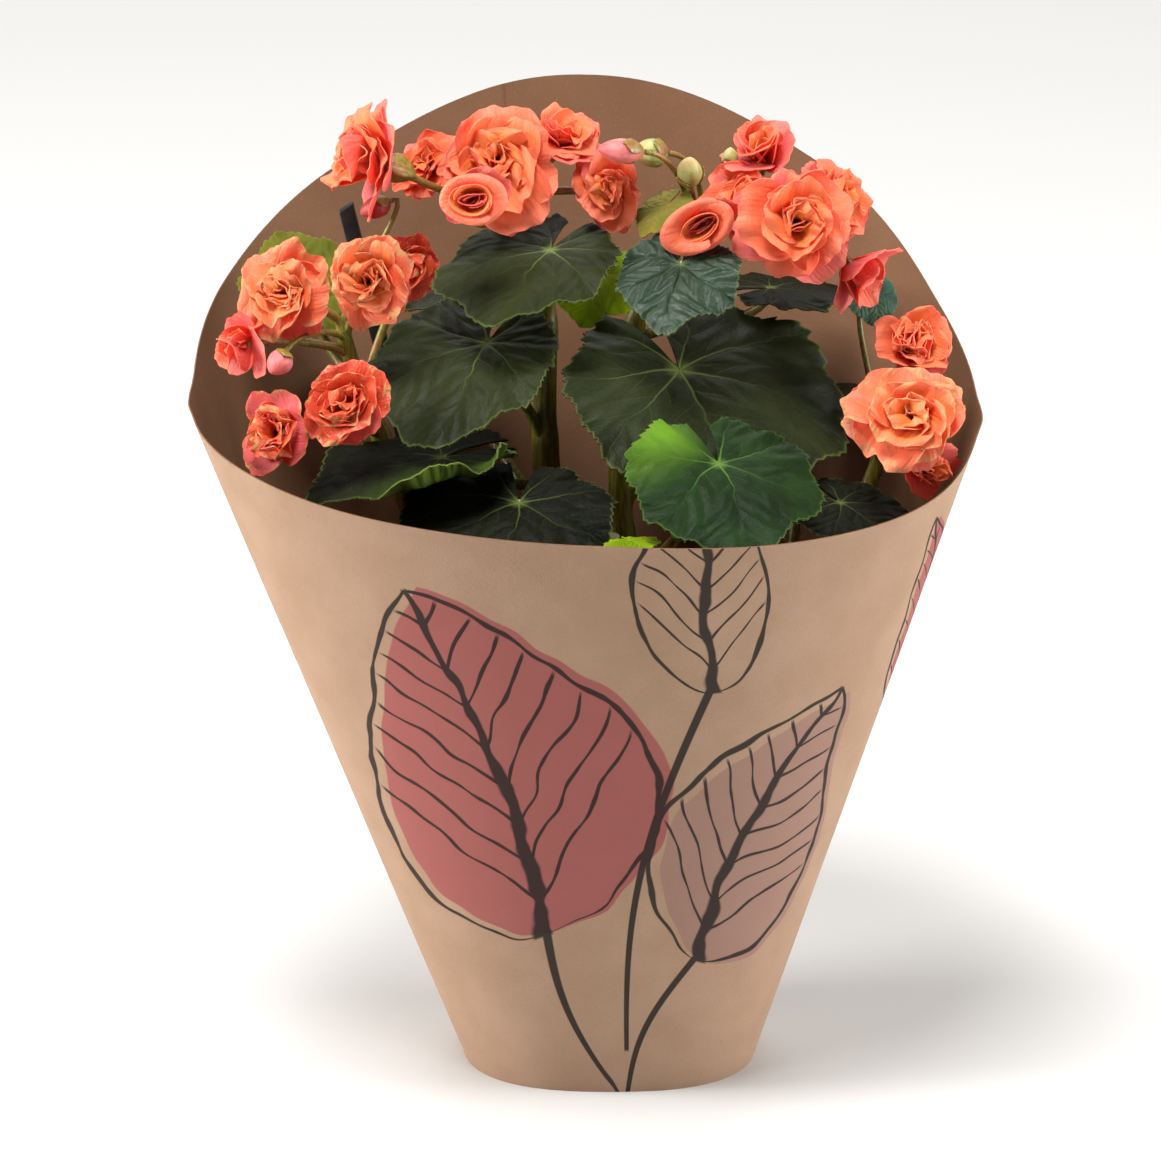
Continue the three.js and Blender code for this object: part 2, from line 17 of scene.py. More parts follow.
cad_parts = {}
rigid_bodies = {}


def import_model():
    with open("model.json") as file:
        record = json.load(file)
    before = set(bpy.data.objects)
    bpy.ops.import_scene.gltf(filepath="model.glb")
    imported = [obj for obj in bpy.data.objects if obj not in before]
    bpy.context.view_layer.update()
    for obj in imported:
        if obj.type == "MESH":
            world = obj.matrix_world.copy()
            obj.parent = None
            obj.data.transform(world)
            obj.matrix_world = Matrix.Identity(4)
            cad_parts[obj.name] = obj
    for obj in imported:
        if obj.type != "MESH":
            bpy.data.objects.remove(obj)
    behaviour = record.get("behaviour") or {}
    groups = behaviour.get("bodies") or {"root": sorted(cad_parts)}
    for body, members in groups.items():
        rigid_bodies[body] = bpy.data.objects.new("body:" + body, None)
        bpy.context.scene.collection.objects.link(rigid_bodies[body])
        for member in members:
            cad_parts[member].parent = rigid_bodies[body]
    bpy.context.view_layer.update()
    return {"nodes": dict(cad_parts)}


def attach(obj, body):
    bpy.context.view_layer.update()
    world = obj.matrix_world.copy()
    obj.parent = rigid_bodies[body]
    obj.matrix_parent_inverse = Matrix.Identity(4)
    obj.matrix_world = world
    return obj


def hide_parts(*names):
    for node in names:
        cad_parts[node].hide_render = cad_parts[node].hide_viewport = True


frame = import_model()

MM = 0.001  # the tables below are in millimetres, and Blender works in metres
print("CAD nodes:", len(frame["nodes"]))

# %% [markdown]
# ## Small helpers
#
# Colours are written as a paint program shows them, from 0 to 255, and a shader wants them
# linear, so one helper converts. The others wire nodes together: a value can be a plain number
# or the output of another node, and arithmetic with a Number adds the Math nodes for it, which
# keeps long sums readable. They work in shader trees and in Geometry Nodes alike.

# %% Helpers for colours and nodes
def tint(red, green, blue):
    """A linear colour from the 0 to 255 values that a paint program shows."""
    shares = [value / 255 for value in (red, green, blue)]
    linear = [v / 12.92 if v <= 0.04045 else ((v + 0.055) / 1.055) ** 2.4 for v in shares]
    return (*linear, 1.0)


def feed(tree, value, socket):
    """Links a socket to another one or to a Number, or sets it to a plain value."""
    value = getattr(value, "socket", value)
    if isinstance(value, bpy.types.NodeSocket):
        tree.links.new(value, socket)
    else:
        socket.default_value = value


def add_node(tree, kind, inputs=None, **settings):
    """A node of that kind. Inputs are given by name, and the other settings are its properties."""
    node = tree.nodes.new(kind)
    for name, value in settings.items():
        setattr(node, name, value)
    for name, value in (inputs or {}).items():
        feed(tree, value, node.inputs[name])
    return node


class Number:
    """A number in a node tree, from an output of one of its nodes."""

    def __init__(self, tree, socket):
        self.tree = tree
        self.socket = socket

    def then(self, operation, *values):
        return maths(self.tree, operation, self, *values)

    def __add__(self, other):
        return self.then("ADD", other)

    def __sub__(self, other):
        return self.then("SUBTRACT", other)

    def __rsub__(self, other):
        return maths(self.tree, "SUBTRACT", other, self)

    def __mul__(self, other):
        return self.then("MULTIPLY", other)

    def __truediv__(self, other):
        return self.then("DIVIDE", other)


def numbers(tree, outputs, *labels):
    return [Number(tree, outputs[label]) for label in labels]


def maths(tree, operation, *values):
    """The result of one Math node."""
    node = tree.nodes.new("ShaderNodeMath")
    node.operation = operation
    for value, socket in zip(values, node.inputs):
        feed(tree, value, socket)
    return Number(tree, node.outputs[0])


def fade(tree, value, low, high):
    """0 below low and 1 above high, with a smooth change between them."""
    node = add_node(tree, "ShaderNodeMapRange", interpolation_type="SMOOTHSTEP")
    for given, socket in zip((value, low, high), node.inputs):
        feed(tree, given, socket)
    return Number(tree, node.outputs[0])


def noise(tree, place, scale, detail=2.0):
    """The outputs of a noise texture."""
    inputs = {"Vector": place, "Scale": scale, "Detail": detail}
    return add_node(tree, "ShaderNodeTexNoise", inputs).outputs


def uv_parts(tree, label):
    """The two numbers of a UV map."""
    place = add_node(tree, "ShaderNodeUVMap", uv_map=label).outputs["UV"]
    return numbers(tree, add_node(tree, "ShaderNodeSeparateXYZ", {"Vector": place}).outputs, "X", "Y")


def blend_colours(tree, factor, first, second, kind="MIX"):
    """A mix of two colours, each a plain colour or a socket."""
    node = add_node(tree, "ShaderNodeMix", data_type="RGBA", blend_type=kind)
    feed(tree, factor, node.inputs[0])
    feed(tree, first, node.inputs[6])
    feed(tree, second, node.inputs[7])
    return node.outputs[2]


def node_group(name, kind, inputs, outputs):
    """A node group with these named sockets, and the sockets of its two end nodes."""
    group = bpy.data.node_groups.new(name, kind)
    for label, socket_type, value in inputs:
        socket = group.interface.new_socket(label, in_out="INPUT", socket_type=socket_type)
        if value is not None:
            socket.default_value = value
    for label, socket_type in outputs:
        group.interface.new_socket(label, in_out="OUTPUT", socket_type=socket_type)
    start, end = (group.nodes.new(node) for node in ("NodeGroupInput", "NodeGroupOutput"))
    return group, start.outputs, end.inputs


def set_outputs(tree, end, **values):
    """Links each value to the group's output of that name."""
    for label, value in values.items():
        feed(tree, value, end[label])


def lay_over(tree, under, mask, share, over):
    """A colour with another one over it where the mask is, at a share of its strength."""
    return blend_colours(tree, maths(tree, "MULTIPLY", mask, share), under, over)


FLOAT, VECTOR, COLOUR = "NodeSocketFloat", "NodeSocketVector", "NodeSocketColor"
GEOMETRY, MATERIAL, WHOLE = "NodeSocketGeometry", "NodeSocketMaterial", "NodeSocketInt"

# %% [markdown]
# ## Helpers for pieces
#
# A thin thing such as a petal, a leaf or paper is first one layer of faces, laid out as a grid
# with its UV map, and a Solidify modifier then gives it a thickness and closes its edge. The
# modifier can also move the far side to the next material, which is how a petal gets a pink back
# and a coral face. The result is baked into a plain mesh, so nothing depends on live modifiers.

# %% Helpers for meshes
def grid_faces(rows, columns):
    """The corners of each square of a grid, row by row."""
    corner = np.arange((rows + 1) * (columns + 1)).reshape(rows + 1, columns + 1)
    quads = [corner[:-1, :-1], corner[1:, :-1], corner[1:, 1:], corner[:-1, 1:]]
    return np.stack(quads, -1).reshape(-1, 4)


def new_object(name, data):
    """An object in the scene."""
    made = bpy.data.objects.new(name, data)
    bpy.context.scene.collection.objects.link(made)
    return made


def mesh_object(name, places, faces, maps=None, materials=()):
    """An object from corner places and faces. Each UV map has one pair of numbers a corner."""
    mesh = bpy.data.meshes.new(name)
    mesh.from_pydata(places.tolist(), [], faces.tolist())
    used = np.zeros(len(mesh.loops), int)
    mesh.loops.foreach_get("vertex_index", used)
    for label, pairs in (maps or {}).items():
        layer = mesh.uv_layers.new(name=label)
        layer.data.foreach_set("uv", pairs[used].astype(np.float32).ravel())
    for material in materials:
        mesh.materials.append(material)
    mesh.polygons.foreach_set("use_smooth", np.ones(len(mesh.polygons), bool))
    return new_object(name, mesh)


def as_mesh(source, name):
    """The object with its modifiers baked in, as a plain mesh. The source is removed."""
    graph = bpy.context.evaluated_depsgraph_get()
    made = source.evaluated_get(graph)
    mesh = bpy.data.meshes.new_from_object(made, preserve_all_data_layers=True, depsgraph=graph)
    bpy.data.objects.remove(source)
    mesh.name = name
    return new_object(name, mesh)


WELD_GAP = 1e-6  # corners that are nearer than this become one


def sheet_grid(columns, rows, half=1.0):
    """How far each corner of a sheet is across it, to half either side, and along it, to 1."""
    return np.meshgrid(np.linspace(-half, half, columns + 1), np.linspace(0, 1, rows + 1))


def thicken(piece, thickness, weld=0.0, rim=0):
    """A closed body from one layer of faces. Its far side has the next material."""
    name = piece.name
    if weld:
        join = piece.modifiers.new("weld", "WELD")
        join.merge_threshold = weld
    solid = piece.modifiers.new("thickness", "SOLIDIFY")
    solid.thickness = thickness
    solid.offset = 0
    solid.material_offset = 1
    solid.material_offset_rim = rim
    made = as_mesh(piece, name)
    made.data.set_sharp_from_angle(angle=math.radians(60))
    return made


def join_pieces(name, parts):
    """Several mesh objects as one, which keeps their materials and UV maps."""
    first = parts[0]
    if len(parts) > 1:
        with bpy.context.temp_override(
            active_object=first, object=first, selected_objects=parts,
            selected_editable_objects=parts,
        ):
            bpy.ops.object.join()
    first.name = name
    first.data.name = name
    return first


finished = []


def settle(piece, node):
    """The piece rides on the model and stands for a CAD node, which is hidden."""
    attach(piece, "root")
    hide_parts(node)
    finished.append(piece)

# %% [markdown]
# ## The camera, the floor and the light
#
# The photo was taken from in front and 20 degrees above, from far away with a long lens. The
# light is a studio's: a soft lamp at either side, the left one a little stronger and warmer, one
# above, and one that lights the floor behind. A pale surrounding fills the shadows. The floor is
# a plain pale plane, and it isn't part of the object.

# %% Camera, floor and light
VIEW_TARGET = Vector((-0.011, 0, 0.188))
VIEW_ELEVATION = math.radians(20)
VIEW_DISTANCE = 2.0
LENS = 167.6  # mm, on a sensor 36 mm wide

camera_data = bpy.data.cameras.new("photo_camera")
camera_data.lens = LENS
camera_data.clip_end = 50
camera = new_object("photo_camera", camera_data)
back_off = Vector((0, -math.cos(VIEW_ELEVATION), math.sin(VIEW_ELEVATION)))
camera.location = VIEW_TARGET + VIEW_DISTANCE * back_off
camera.rotation_euler = (-back_off).to_track_quat("-Z", "Y").to_euler()
bpy.context.scene.camera = camera

FLOOR_SIZE = 12.0
floor_corners = np.array([(-1, -1, 0), (1, -1, 0), (1, 1, 0), (-1, 1, 0)]) * FLOOR_SIZE / 2
floor_paint = bpy.data.materials.new("pale floor")
floor_paint.use_nodes = True
floor_shader = floor_paint.node_tree.nodes["Principled BSDF"]
floor_shader.inputs["Base Color"].default_value = tint(204, 203, 201)
floor_shader.inputs["Roughness"].default_value = 0.6
floor = mesh_object("floor", floor_corners, np.array([[0, 1, 2, 3]]), None, [floor_paint])


def soft_lamp(name, place, target, size, power, colour=(1, 1, 1)):
    """A square area lamp that looks at a target."""
    data = bpy.data.lights.new(name, "AREA")
    data.size = size
    data.energy = power
    data.color = colour
    lamp = new_object(name, data)
    lamp.location = place
    lamp.rotation_euler = (Vector(target) - Vector(place)).to_track_quat("-Z", "Y").to_euler()


# name, place, target, size in metres, power in watts
soft_lamp("key", (-2.1, -0.25, 0.9), (0, 0, 0.22), 0.8, 66, (1.0, 0.985, 0.965))
soft_lamp("fill", (2.1, -0.25, 0.8), (0, 0, 0.2), 1.0, 52)
soft_lamp("top", (-0.3, -0.5, 2.3), (0, 0, 0.3), 0.8, 64)
soft_lamp("background", (0.0, 4.5, 3.0), (0, 4.5, 0), 4.0, 160)
SURROUNDING_LIGHT = 0.2

surrounding = bpy.data.worlds.new("studio")
surrounding.use_nodes = True
surrounding.node_tree.nodes["Background"].inputs["Color"].default_value = (1, 1, 1, 1)
surrounding.node_tree.nodes["Background"].inputs["Strength"].default_value = SURROUNDING_LIGHT
bpy.context.scene.world = surrounding
bpy.context.scene.view_settings.view_transform = "Standard"
print("Camera", round(VIEW_DISTANCE, 2), "m away,", round(math.degrees(VIEW_ELEVATION)), "degrees up")

# %% [markdown]
# ## Fine mottling, which several finishes share
#
# Hardly anything natural has one flat colour. This group gives a soft cloudy value and a fine
# grain from the object's own coordinates. It is a group, built once, because the leaves, the
# stems, the pot and the soil all use it, each with sizes of its own.

# %% Shader group: mottling
mottling, start, end = node_group(
    "mottling", "ShaderNodeTree",
    [("Cloud Size", FLOAT, 0.02), ("Grain Size", FLOAT, 0.001)],
    [("Cloud", FLOAT), ("Grain", FLOAT)],
)
place = add_node(mottling, "ShaderNodeTexCoord").outputs["Object"]
for label in ("Cloud", "Grain"):
    scale = maths(mottling, "DIVIDE", 1.0, start[f"{label} Size"])
    feed(mottling, fade(mottling, noise(mottling, place, scale, 3)["Fac"], 0.3, 0.7), end[label])


def use_group(tree, group, **values):
    """A group placed in a tree. An underscore in a keyword stands for a space."""
    node = add_node(tree, "ShaderNodeGroup", node_tree=group)
    for name, value in values.items():
        feed(tree, value, node.inputs[name.replace("_", " ")])
    return {socket.name: Number(tree, socket) for socket in node.outputs}


def new_finish(name, roughness, specular=0.5):
    """A material with its tree and its main shader."""
    material = bpy.data.materials.new(name)
    material.use_nodes = True
    tree = material.node_tree
    shader = tree.nodes["Principled BSDF"]
    shader.inputs["Roughness"].default_value = roughness
    shader.inputs["Specular IOR Level"].default_value = specular
    return material, tree, shader


def cover(tree, shader, colour, height, strength, depth):
    """A colour, and a relief in the shading that is at most depth metres deep."""
    feed(tree, colour, shader.inputs["Base Color"])
    inputs = {"Height": height, "Strength": strength, "Distance": depth}
    bump = add_node(tree, "ShaderNodeBump", inputs)
    tree.links.new(bump.outputs["Normal"], shader.inputs["Normal"])


def vary_roughness(tree, shader, value, low, high):
    shine = add_node(tree, "ShaderNodeMapRange", {"Value": value, "To Min": low, "To Max": high})
    tree.links.new(shine.outputs[0], shader.inputs["Roughness"])


def let_light_through(tree, shader, colour, share):
    """Part of the light passes: the shader is mixed with a Translucent one."""
    through = add_node(tree, "ShaderNodeBsdfTranslucent", {"Color": colour})
    mix = tree.nodes.new("ShaderNodeMixShader")
    mix.inputs[0].default_value = share
    tree.links.new(shader.outputs[0], mix.inputs[1])
    tree.links.new(through.outputs[0], mix.inputs[2])
    tree.links.new(mix.outputs[0], tree.nodes["Material Output"].inputs["Surface"])

# %% [markdown]
# ## Kraft paper
#
# Kraft paper is matt and brown, cloudy when held to the light, and full of short fibres, some
# paler and some darker than the sheet. Two stretched noises that lean different ways make the
# fibres, a fine one makes the specks, and they also raise a very slight relief.

# %% Shader group: kraft fibres
kraft, start, end = node_group(
    "kraft fibres", "ShaderNodeTree",
    [("Base", COLOUR, tint(200, 160, 126))],
    [("Color", COLOUR), ("Height", FLOAT)],
)
place = add_node(kraft, "ShaderNodeTexCoord").outputs["Object"]
cloud = noise(kraft, place, 45.0, 4)["Fac"]
specks = noise(kraft, place, 1600.0)["Fac"]
FIBRE_TURNS = (25, -50)  # degrees that the two sets of fibres lean
FIBRE_STRETCH = (2400, 2400, 600)
strands = []
for turn in FIBRE_TURNS:
    mapping = add_node(kraft, "ShaderNodeMapping", {"Vector": place})
    mapping.inputs["Rotation"].default_value = (0, math.radians(turn), math.radians(turn))
    mapping.inputs["Scale"].default_value = FIBRE_STRETCH
    strands.append(noise(kraft, mapping.outputs[0], 1.0)["Fac"])
darker = blend_colours(kraft, 1.0, start["Base"], tint(244, 241, 237), "MULTIPLY")
shade = fade(kraft, cloud, 0.3, 0.7)
colour = blend_colours(kraft, shade, darker, start["Base"])
# the dark fibres, the pale ones and the specks, with how strongly each of them shows
for mask, share, fleck in (
    (fade(kraft, strands[1], 0.62, 0.74), 0.22, tint(120, 82, 54)),
    (fade(kraft, strands[0], 0.60, 0.72), 0.06, tint(222, 192, 160)),
    (fade(kraft, specks, 0.6, 0.72), 0.22, tint(116, 78, 50)),
):
    colour = lay_over(kraft, colour, mask, share, fleck)
set_outputs(kraft, end, Color=colour, Height=maths(kraft, "ADD", strands[0], specks))

# %% [markdown]
# ## The print on the sleeve
#
# The outside carries large leaf sprigs in dark ink over patches of dusty rose and mauve. The
# design here is a plain one of pointed leaves. Nothing is drawn in an image: one group works out,
# from a place on the flat paper, whether it lies in the patch or on a line of one leaf, and a
# second group does the same for a stalk. The paper's UV map is in metres, so the sizes below are
# real ones.

# %% Shader group: one printed leaf
printed_leaf, start, end = node_group(
    "printed leaf", "ShaderNodeTree",
    [
        ("Place", VECTOR, None), ("Foot X", FLOAT, 0.0), ("Foot Y", FLOAT, 0.0),
        ("Turn", FLOAT, 0.0), ("Length", FLOAT, 0.1), ("Half Width", FLOAT, 0.3),
        ("Bend", FLOAT, 0.1), ("Line", FLOAT, 0.0105), ("Veins", FLOAT, 9.0),
    ],
    [("Patch", FLOAT), ("Ink", FLOAT)],
)
foot_x, foot_y, turn, length, half_width, bend, line, veins = numbers(
    printed_leaf, start, "Foot X", "Foot Y", "Turn", "Length", "Half Width", "Bend", "Line", "Veins"
)
wobble = noise(printed_leaf, start["Place"], 34.0, 1)["Color"]
wobble = add_node(printed_leaf, "ShaderNodeSeparateColor", {"Color": wobble}).outputs
wobble_x, wobble_y = numbers(printed_leaf, wobble, 0, 1)
spot = add_node(printed_leaf, "ShaderNodeSeparateXYZ", {"Vector": start["Place"]}).outputs
x, y = numbers(printed_leaf, spot, "X", "Y")
(brush,) = numbers(printed_leaf, noise(printed_leaf, start["Place"], 95.0, 1), "Fac")

RIB_WIDTH, SIDE_VEIN_WIDTH = 1.6, 0.75  # of the width of the outline
RIB_SLANT = 1.15  # how far the side veins lean towards the tip
WOBBLE = 0.011  # how far a hand-drawn line strays, in metres from end to end of the noise
BRUSH_LEAST, BRUSH_MORE = 0.15, 1.7  # the thinnest that a brush line gets, and what it may gain
line_width = line * (brush * BRUSH_MORE + BRUSH_LEAST)
away_x = x - foot_x + (wobble_x - 0.5) * WOBBLE
away_y = y - foot_y + (wobble_y - 0.5) * WOBBLE
cosine, sine = turn.then("COSINE"), turn.then("SINE")
along = (away_x * cosine + away_y * sine) / length
across = (away_y * cosine - away_x * sine) / length
bow = along * (1.0 - along) * 4.0
across = across - bow * bend


def leaf_outline(shift):
    """How far inside the outline a place is, with the outline moved sideways by shift."""
    held = Number(printed_leaf, add_node(printed_leaf, "ShaderNodeClamp", {"Value": along}).outputs[0])
    bulge = (held.then("POWER", 0.72) * math.pi).then("SINE")
    return bulge.then("POWER", 0.85) * half_width - (across + shift).then("ABSOLUTE")


def leaf_line(distance, thickness):
    """1 within 0.6 of the thickness, and 0 outside it."""
    return 1.0 - fade(printed_leaf, distance, thickness * 0.6, thickness)


inside = leaf_outline(0.0)
within_length = fade(printed_leaf, along, -0.01, 0.0) * fade(printed_leaf, along, 1.01, 1.0)
rim_ink = leaf_line(inside.then("ABSOLUTE"), line_width) * within_length
reach_across = across.then("ABSOLUTE")
rib_width = line_width * RIB_WIDTH * (1.5 - along)
rib_ink = leaf_line(reach_across, rib_width) * within_length
slant = along - reach_across * RIB_SLANT
to_line = (slant * veins).then("PINGPONG", 0.5) / veins
vein_ink = leaf_line(to_line, line_width * SIDE_VEIN_WIDTH) * fade(printed_leaf, inside, 0.004, 0.03)
vein_ink = vein_ink * fade(printed_leaf, slant, 0.02, 0.06)
ink = rim_ink.then("MAXIMUM", rib_ink.then("MAXIMUM", vein_ink))
PATCH_SHIFT = 0.035  # the colour is printed a little beside the lines
patch = fade(printed_leaf, leaf_outline(PATCH_SHIFT), 0.0, 0.006)
set_outputs(printed_leaf, end, Patch=patch * within_length, Ink=ink)

# %% Shader group: one printed stalk
printed_stalk, start, end = node_group(
    "printed stalk", "ShaderNodeTree",
    [
        ("Place", VECTOR, None), ("Foot X", FLOAT, 0.0), ("Foot Y", FLOAT, 0.0),
        ("Top X", FLOAT, 0.0), ("Top Y", FLOAT, 0.1), ("Bow", FLOAT, 0.01), ("Width", FLOAT, 0.0014),
    ],
    [("Ink", FLOAT)],
)
foot_x, foot_y, top_x, top_y, bow, width = numbers(
    printed_stalk, start, "Foot X", "Foot Y", "Top X", "Top Y", "Bow", "Width"
)
spot = add_node(printed_stalk, "ShaderNodeSeparateXYZ", {"Vector": start["Place"]}).outputs
x, y = numbers(printed_stalk, spot, "X", "Y")
share = (y - foot_y) / (top_y - foot_y)
sway = (share * math.pi).then("SINE") * bow
line_x = foot_x + (top_x - foot_x) * share + sway
thin = width * (share * 0.7 + 0.75)
on_line = 1.0 - fade(printed_stalk, (x - line_x).then("ABSOLUTE"), thin * 0.7, thin)
ends = fade(printed_stalk, share, -0.01, 0.0) * fade(printed_stalk, share, 1.01, 1.0)
set_outputs(printed_stalk, end, Ink=on_line * ends)

# %% Two paper finishes: the bare inside, darkened as painted shade, and the printed outside
ROSE, MAUVE, INK = tint(150, 80, 78), tint(146, 113, 101), tint(32, 27, 24)
# the inside is plain kraft, and its colour is darker than the outside's as painted shade for the inside of
# the sleeve
KRAFT_OUTSIDE, KRAFT_INSIDE_WITH_SHADE = tint(166, 136, 113), tint(116, 82, 58)
# foot x and y in metres on the paper from the middle of the front, turn in degrees, length,
# half width and bend as shares of the length, colour of the patch
PRINTED_LEAVES = [
    (-0.022, 0.072, 108, 0.152, 0.36, -0.05, ROSE),
    (0.034, 0.060, 62, 0.124, 0.27, 0.07, MAUVE),
    (0.040, 0.176, 88, 0.100, 0.24, 0.04, None),
    (0.150, 0.130, 96, 0.100, 0.27, -0.05, ROSE),
    (-0.185, 0.092, 80, 0.105, 0.28, 0.05, MAUVE),
    (0.236, 0.110, 100, 0.110, 0.28, 0.05, MAUVE),
    (-0.262, 0.150, 84, 0.105, 0.26, -0.05, ROSE),
]
# foot x and y, top x and y, bow
PRINTED_STALKS = [
    (0.002, 0.0, -0.022, 0.074, -0.005), (0.006, 0.0, 0.034, 0.062, -0.006),
    (0.006, 0.02, 0.040, 0.178, -0.010), (0.120, 0.0, 0.150, 0.132, 0.008),
    (-0.120, 0.0, -0.185, 0.094, 0.010), (0.170, 0.0, 0.236, 0.112, -0.008),
    (-0.172, 0.0, -0.262, 0.152, 0.014),
]
PAPER_RELIEF = 0.00012
PATCH_STRENGTH, INK_STRENGTH = 0.9, 0.94  # how well each covers the paper


def paper_finish(name, base, with_print):
    material, tree, shader = new_finish(name, 0.82, 0.25)
    sheet = use_group(tree, kraft, Base=base)
    colour = sheet["Color"]
    if with_print:
        flat = add_node(tree, "ShaderNodeUVMap", uv_map="paper").outputs["UV"]
        ink = 0.0
        for x, y, turn, length, half, bend, fill in PRINTED_LEAVES:
            leaf = use_group(
                tree, printed_leaf, Place=flat, Foot_X=x, Foot_Y=y, Turn=math.radians(turn),
                Length=length, Half_Width=half, Bend=bend,
            )
            if fill:
                colour = lay_over(tree, colour, leaf["Patch"], PATCH_STRENGTH, fill)
            ink = maths(tree, "MAXIMUM", ink, leaf["Ink"])
        for foot_x, foot_y, top_x, top_y, bow_out in PRINTED_STALKS:
            line = use_group(
                tree, printed_stalk, Place=flat, Foot_X=foot_x, Foot_Y=foot_y, Top_X=top_x,
                Top_Y=top_y, Bow=bow_out,
            )
            ink = maths(tree, "MAXIMUM", ink, line["Ink"])
        colour = lay_over(tree, colour, ink, INK_STRENGTH, INK)
    cover(tree, shader, colour, sheet["Height"], 0.5, PAPER_RELIEF)
    return material


kraft_printed = paper_finish("printed kraft paper", KRAFT_OUTSIDE, True)
kraft_plain_with_shade = paper_finish("plain kraft paper", KRAFT_INSIDE_WITH_SHADE, False)
print("Printed leaves:", len(PRINTED_LEAVES), "and stalks:", len(PRINTED_STALKS))

# %% [markdown]
# ## The sleeve
#
# The real sleeve is a flat bag of kraft paper with its top cut at a slant, opened into an oval
# cone. It has a crease down each side and a glued lap down the back. It could be cut from a
# cone, but a formula for its outline at each height, the same as in the CAD model, gives the
# squarish foot, the rounder mouth and the wavy rim in one grid. The grid starts at the lap, goes
# once round and ends on top of its own beginning. Its UV map is laid out in metres along the
# paper, which is what the print reads.

# %% Sleeve
SLEEVE_FOOT = (0.055, 0.043)  # half width and half depth at the floor
SLEEVE_FLARE = (0.347, 0.259)  # what they gain for each metre of height
SLEEVE_LEAN = -0.031
SLEEVE_POWERS = (2.5, 2.3)  # 2 is an ellipse, and more is squarer, at the floor and higher up
SLEEVE_POWER_HEIGHT = 0.25
BACK_RIM = [252, 275, 318, 346, 319, 285, 258]  # mm, from the right crease round the back
FRONT_RIM = [258, 253, 245, 239, 236, 240, 252]  # mm, from the left crease round the front
PAPER = 0.0005
LAP = 0.022  # how much of a turn the glued lap takes
LAP_CLEAR = 0.0002  # between the two layers of the lap
SEAM = -0.75  # the turn where the paper ends, in the middle of the back
CREASE = 0.0016  # how far the folded sides stand out
CREASE_WIDTH = 0.012  # in turns
CREASE_START = 0.2  # the height in metres from which the folds show in full
RIPPLE = 0.0005  # how far the paper is from flat
COLUMNS, ROWS = 320, 60


def heights_between(heights, share):
    """Smooth heights between those given at even steps, for shares from 0 to 1."""
    padded = np.array([heights[0], *heights, heights[-1]], float)
    spot = share * (len(heights) - 1)
    first = np.clip(spot.astype(int), 0, len(heights) - 2)
    t = spot - first
    before, low, high, after = (padded[first + k] for k in range(4))
    slope_low, slope_high = (high - before) / 2, (after - low) / 2
    cubic = 2 * low - 2 * high + slope_low + slope_high
    square = -3 * low + 3 * high - 2 * slope_low - slope_high
    return (cubic * t**3 + square * t**2 + slope_low * t + low) * MM


def rim_height(turn):
    turn = turn % 1.0
    back = heights_between(BACK_RIM, np.clip(turn * 2, 0, 1))
    front = heights_between(FRONT_RIM, np.clip(turn * 2 - 1, 0, 1))
    return np.where(turn <= 0.5, back, front)


def sleeve_place(turn, z):
    """Where the paper is at that part of a turn, from the right crease round the back."""
    angle = 2 * np.pi * turn
    grown = np.minimum(z / SLEEVE_POWER_HEIGHT, 1.4)
    power = 2 / (SLEEVE_POWERS[0] + (SLEEVE_POWERS[1] - SLEEVE_POWERS[0]) * grown)
    half_width, half_depth = (foot + flare * z for foot, flare in zip(SLEEVE_FOOT, SLEEVE_FLARE))
    x = half_width * np.sign(np.cos(angle)) * np.abs(np.cos(angle)) ** power
    y = half_depth * np.sign(np.sin(angle)) * np.abs(np.sin(angle)) ** power
    return x, y


def build_sleeve():
    turn = np.linspace(SEAM + 1 + LAP, SEAM, COLUMNS + 1)
    share = np.linspace(0, 1, ROWS + 1)
    turns, shares = np.meshgrid(turn, share)
    z = shares * rim_height(turns)
    x, y = sleeve_place(turns, z)
    step_x, step_y = np.gradient(x, axis=1), np.gradient(y, axis=1)
    size = np.hypot(step_x, step_y)
    out_x, out_y = -step_y / size, step_x / size
    over = np.clip((SEAM + 1.8 * LAP - turns) / (0.8 * LAP), 0, 1)
    off = over * over * (3 - 2 * over) * (PAPER + LAP_CLEAR)
    fold = np.abs((turns * 2 + 0.5) % 1.0 - 0.5) / 2  # how far from either crease, in turns
    risen = np.clip(z / CREASE_START, 0, 1)
    off = off + CREASE * risen * np.exp(-((fold / CREASE_WIDTH) ** 2))
    waves = np.sin(14 * turns * np.pi + 9 * z) * np.sin(23 * z + 5 * turns)
    off = off + RIPPLE * risen * waves
    along = np.cumsum(size, axis=1)
    front = np.argmin(np.abs(turn + 0.25))
    flat_x = along[:, front:front + 1] - along
    places = np.stack([x + SLEEVE_LEAN * z + out_x * off, y + out_y * off, z], -1)
    flat = np.stack([flat_x, z], -1)
    # the inside and the cut edge take the plain kraft, which is darker as painted shade
    piece = mesh_object(
        "paper_sleeve", places.reshape(-1, 3), grid_faces(ROWS, COLUMNS),
        {"paper": flat.reshape(-1, 2)}, [kraft_printed, kraft_plain_with_shade],
    )
    piece = thicken(piece, PAPER, rim=1)
    settle(piece, "sleeve")
    return piece


sleeve = build_sleeve()
print("Sleeve:", len(sleeve.data.polygons), "faces")

# %% [markdown]
# ## The pot and the soil
#
# A grower's pot is a thin cone of moulded plastic with a stiff band under its lip and six drain
# holes. It stands hidden in the sleeve, but shows from below and through the leaves. Its profile
# is turned round by a formula, and small turned cylinders cut the holes out of its floor. The
# soil is a mound of peat. Geometry Nodes scatter crumbs over it, because there are hundreds of
# them and no two need to differ in more than size and turn.

# %% Pot
POT_HEIGHT, POT_FOOT, POT_MOUTH = 0.104, 0.04235, 0.0575
POT_WALL, POT_FLOOR, BAND_HEIGHT, BAND_PROUD = 0.0015, 0.002, 0.012, 0.0015
DRAINS, DRAIN_RADIUS, DRAIN_CIRCLE = 6, 0.0045, 0.028
POT_SIDES = 96


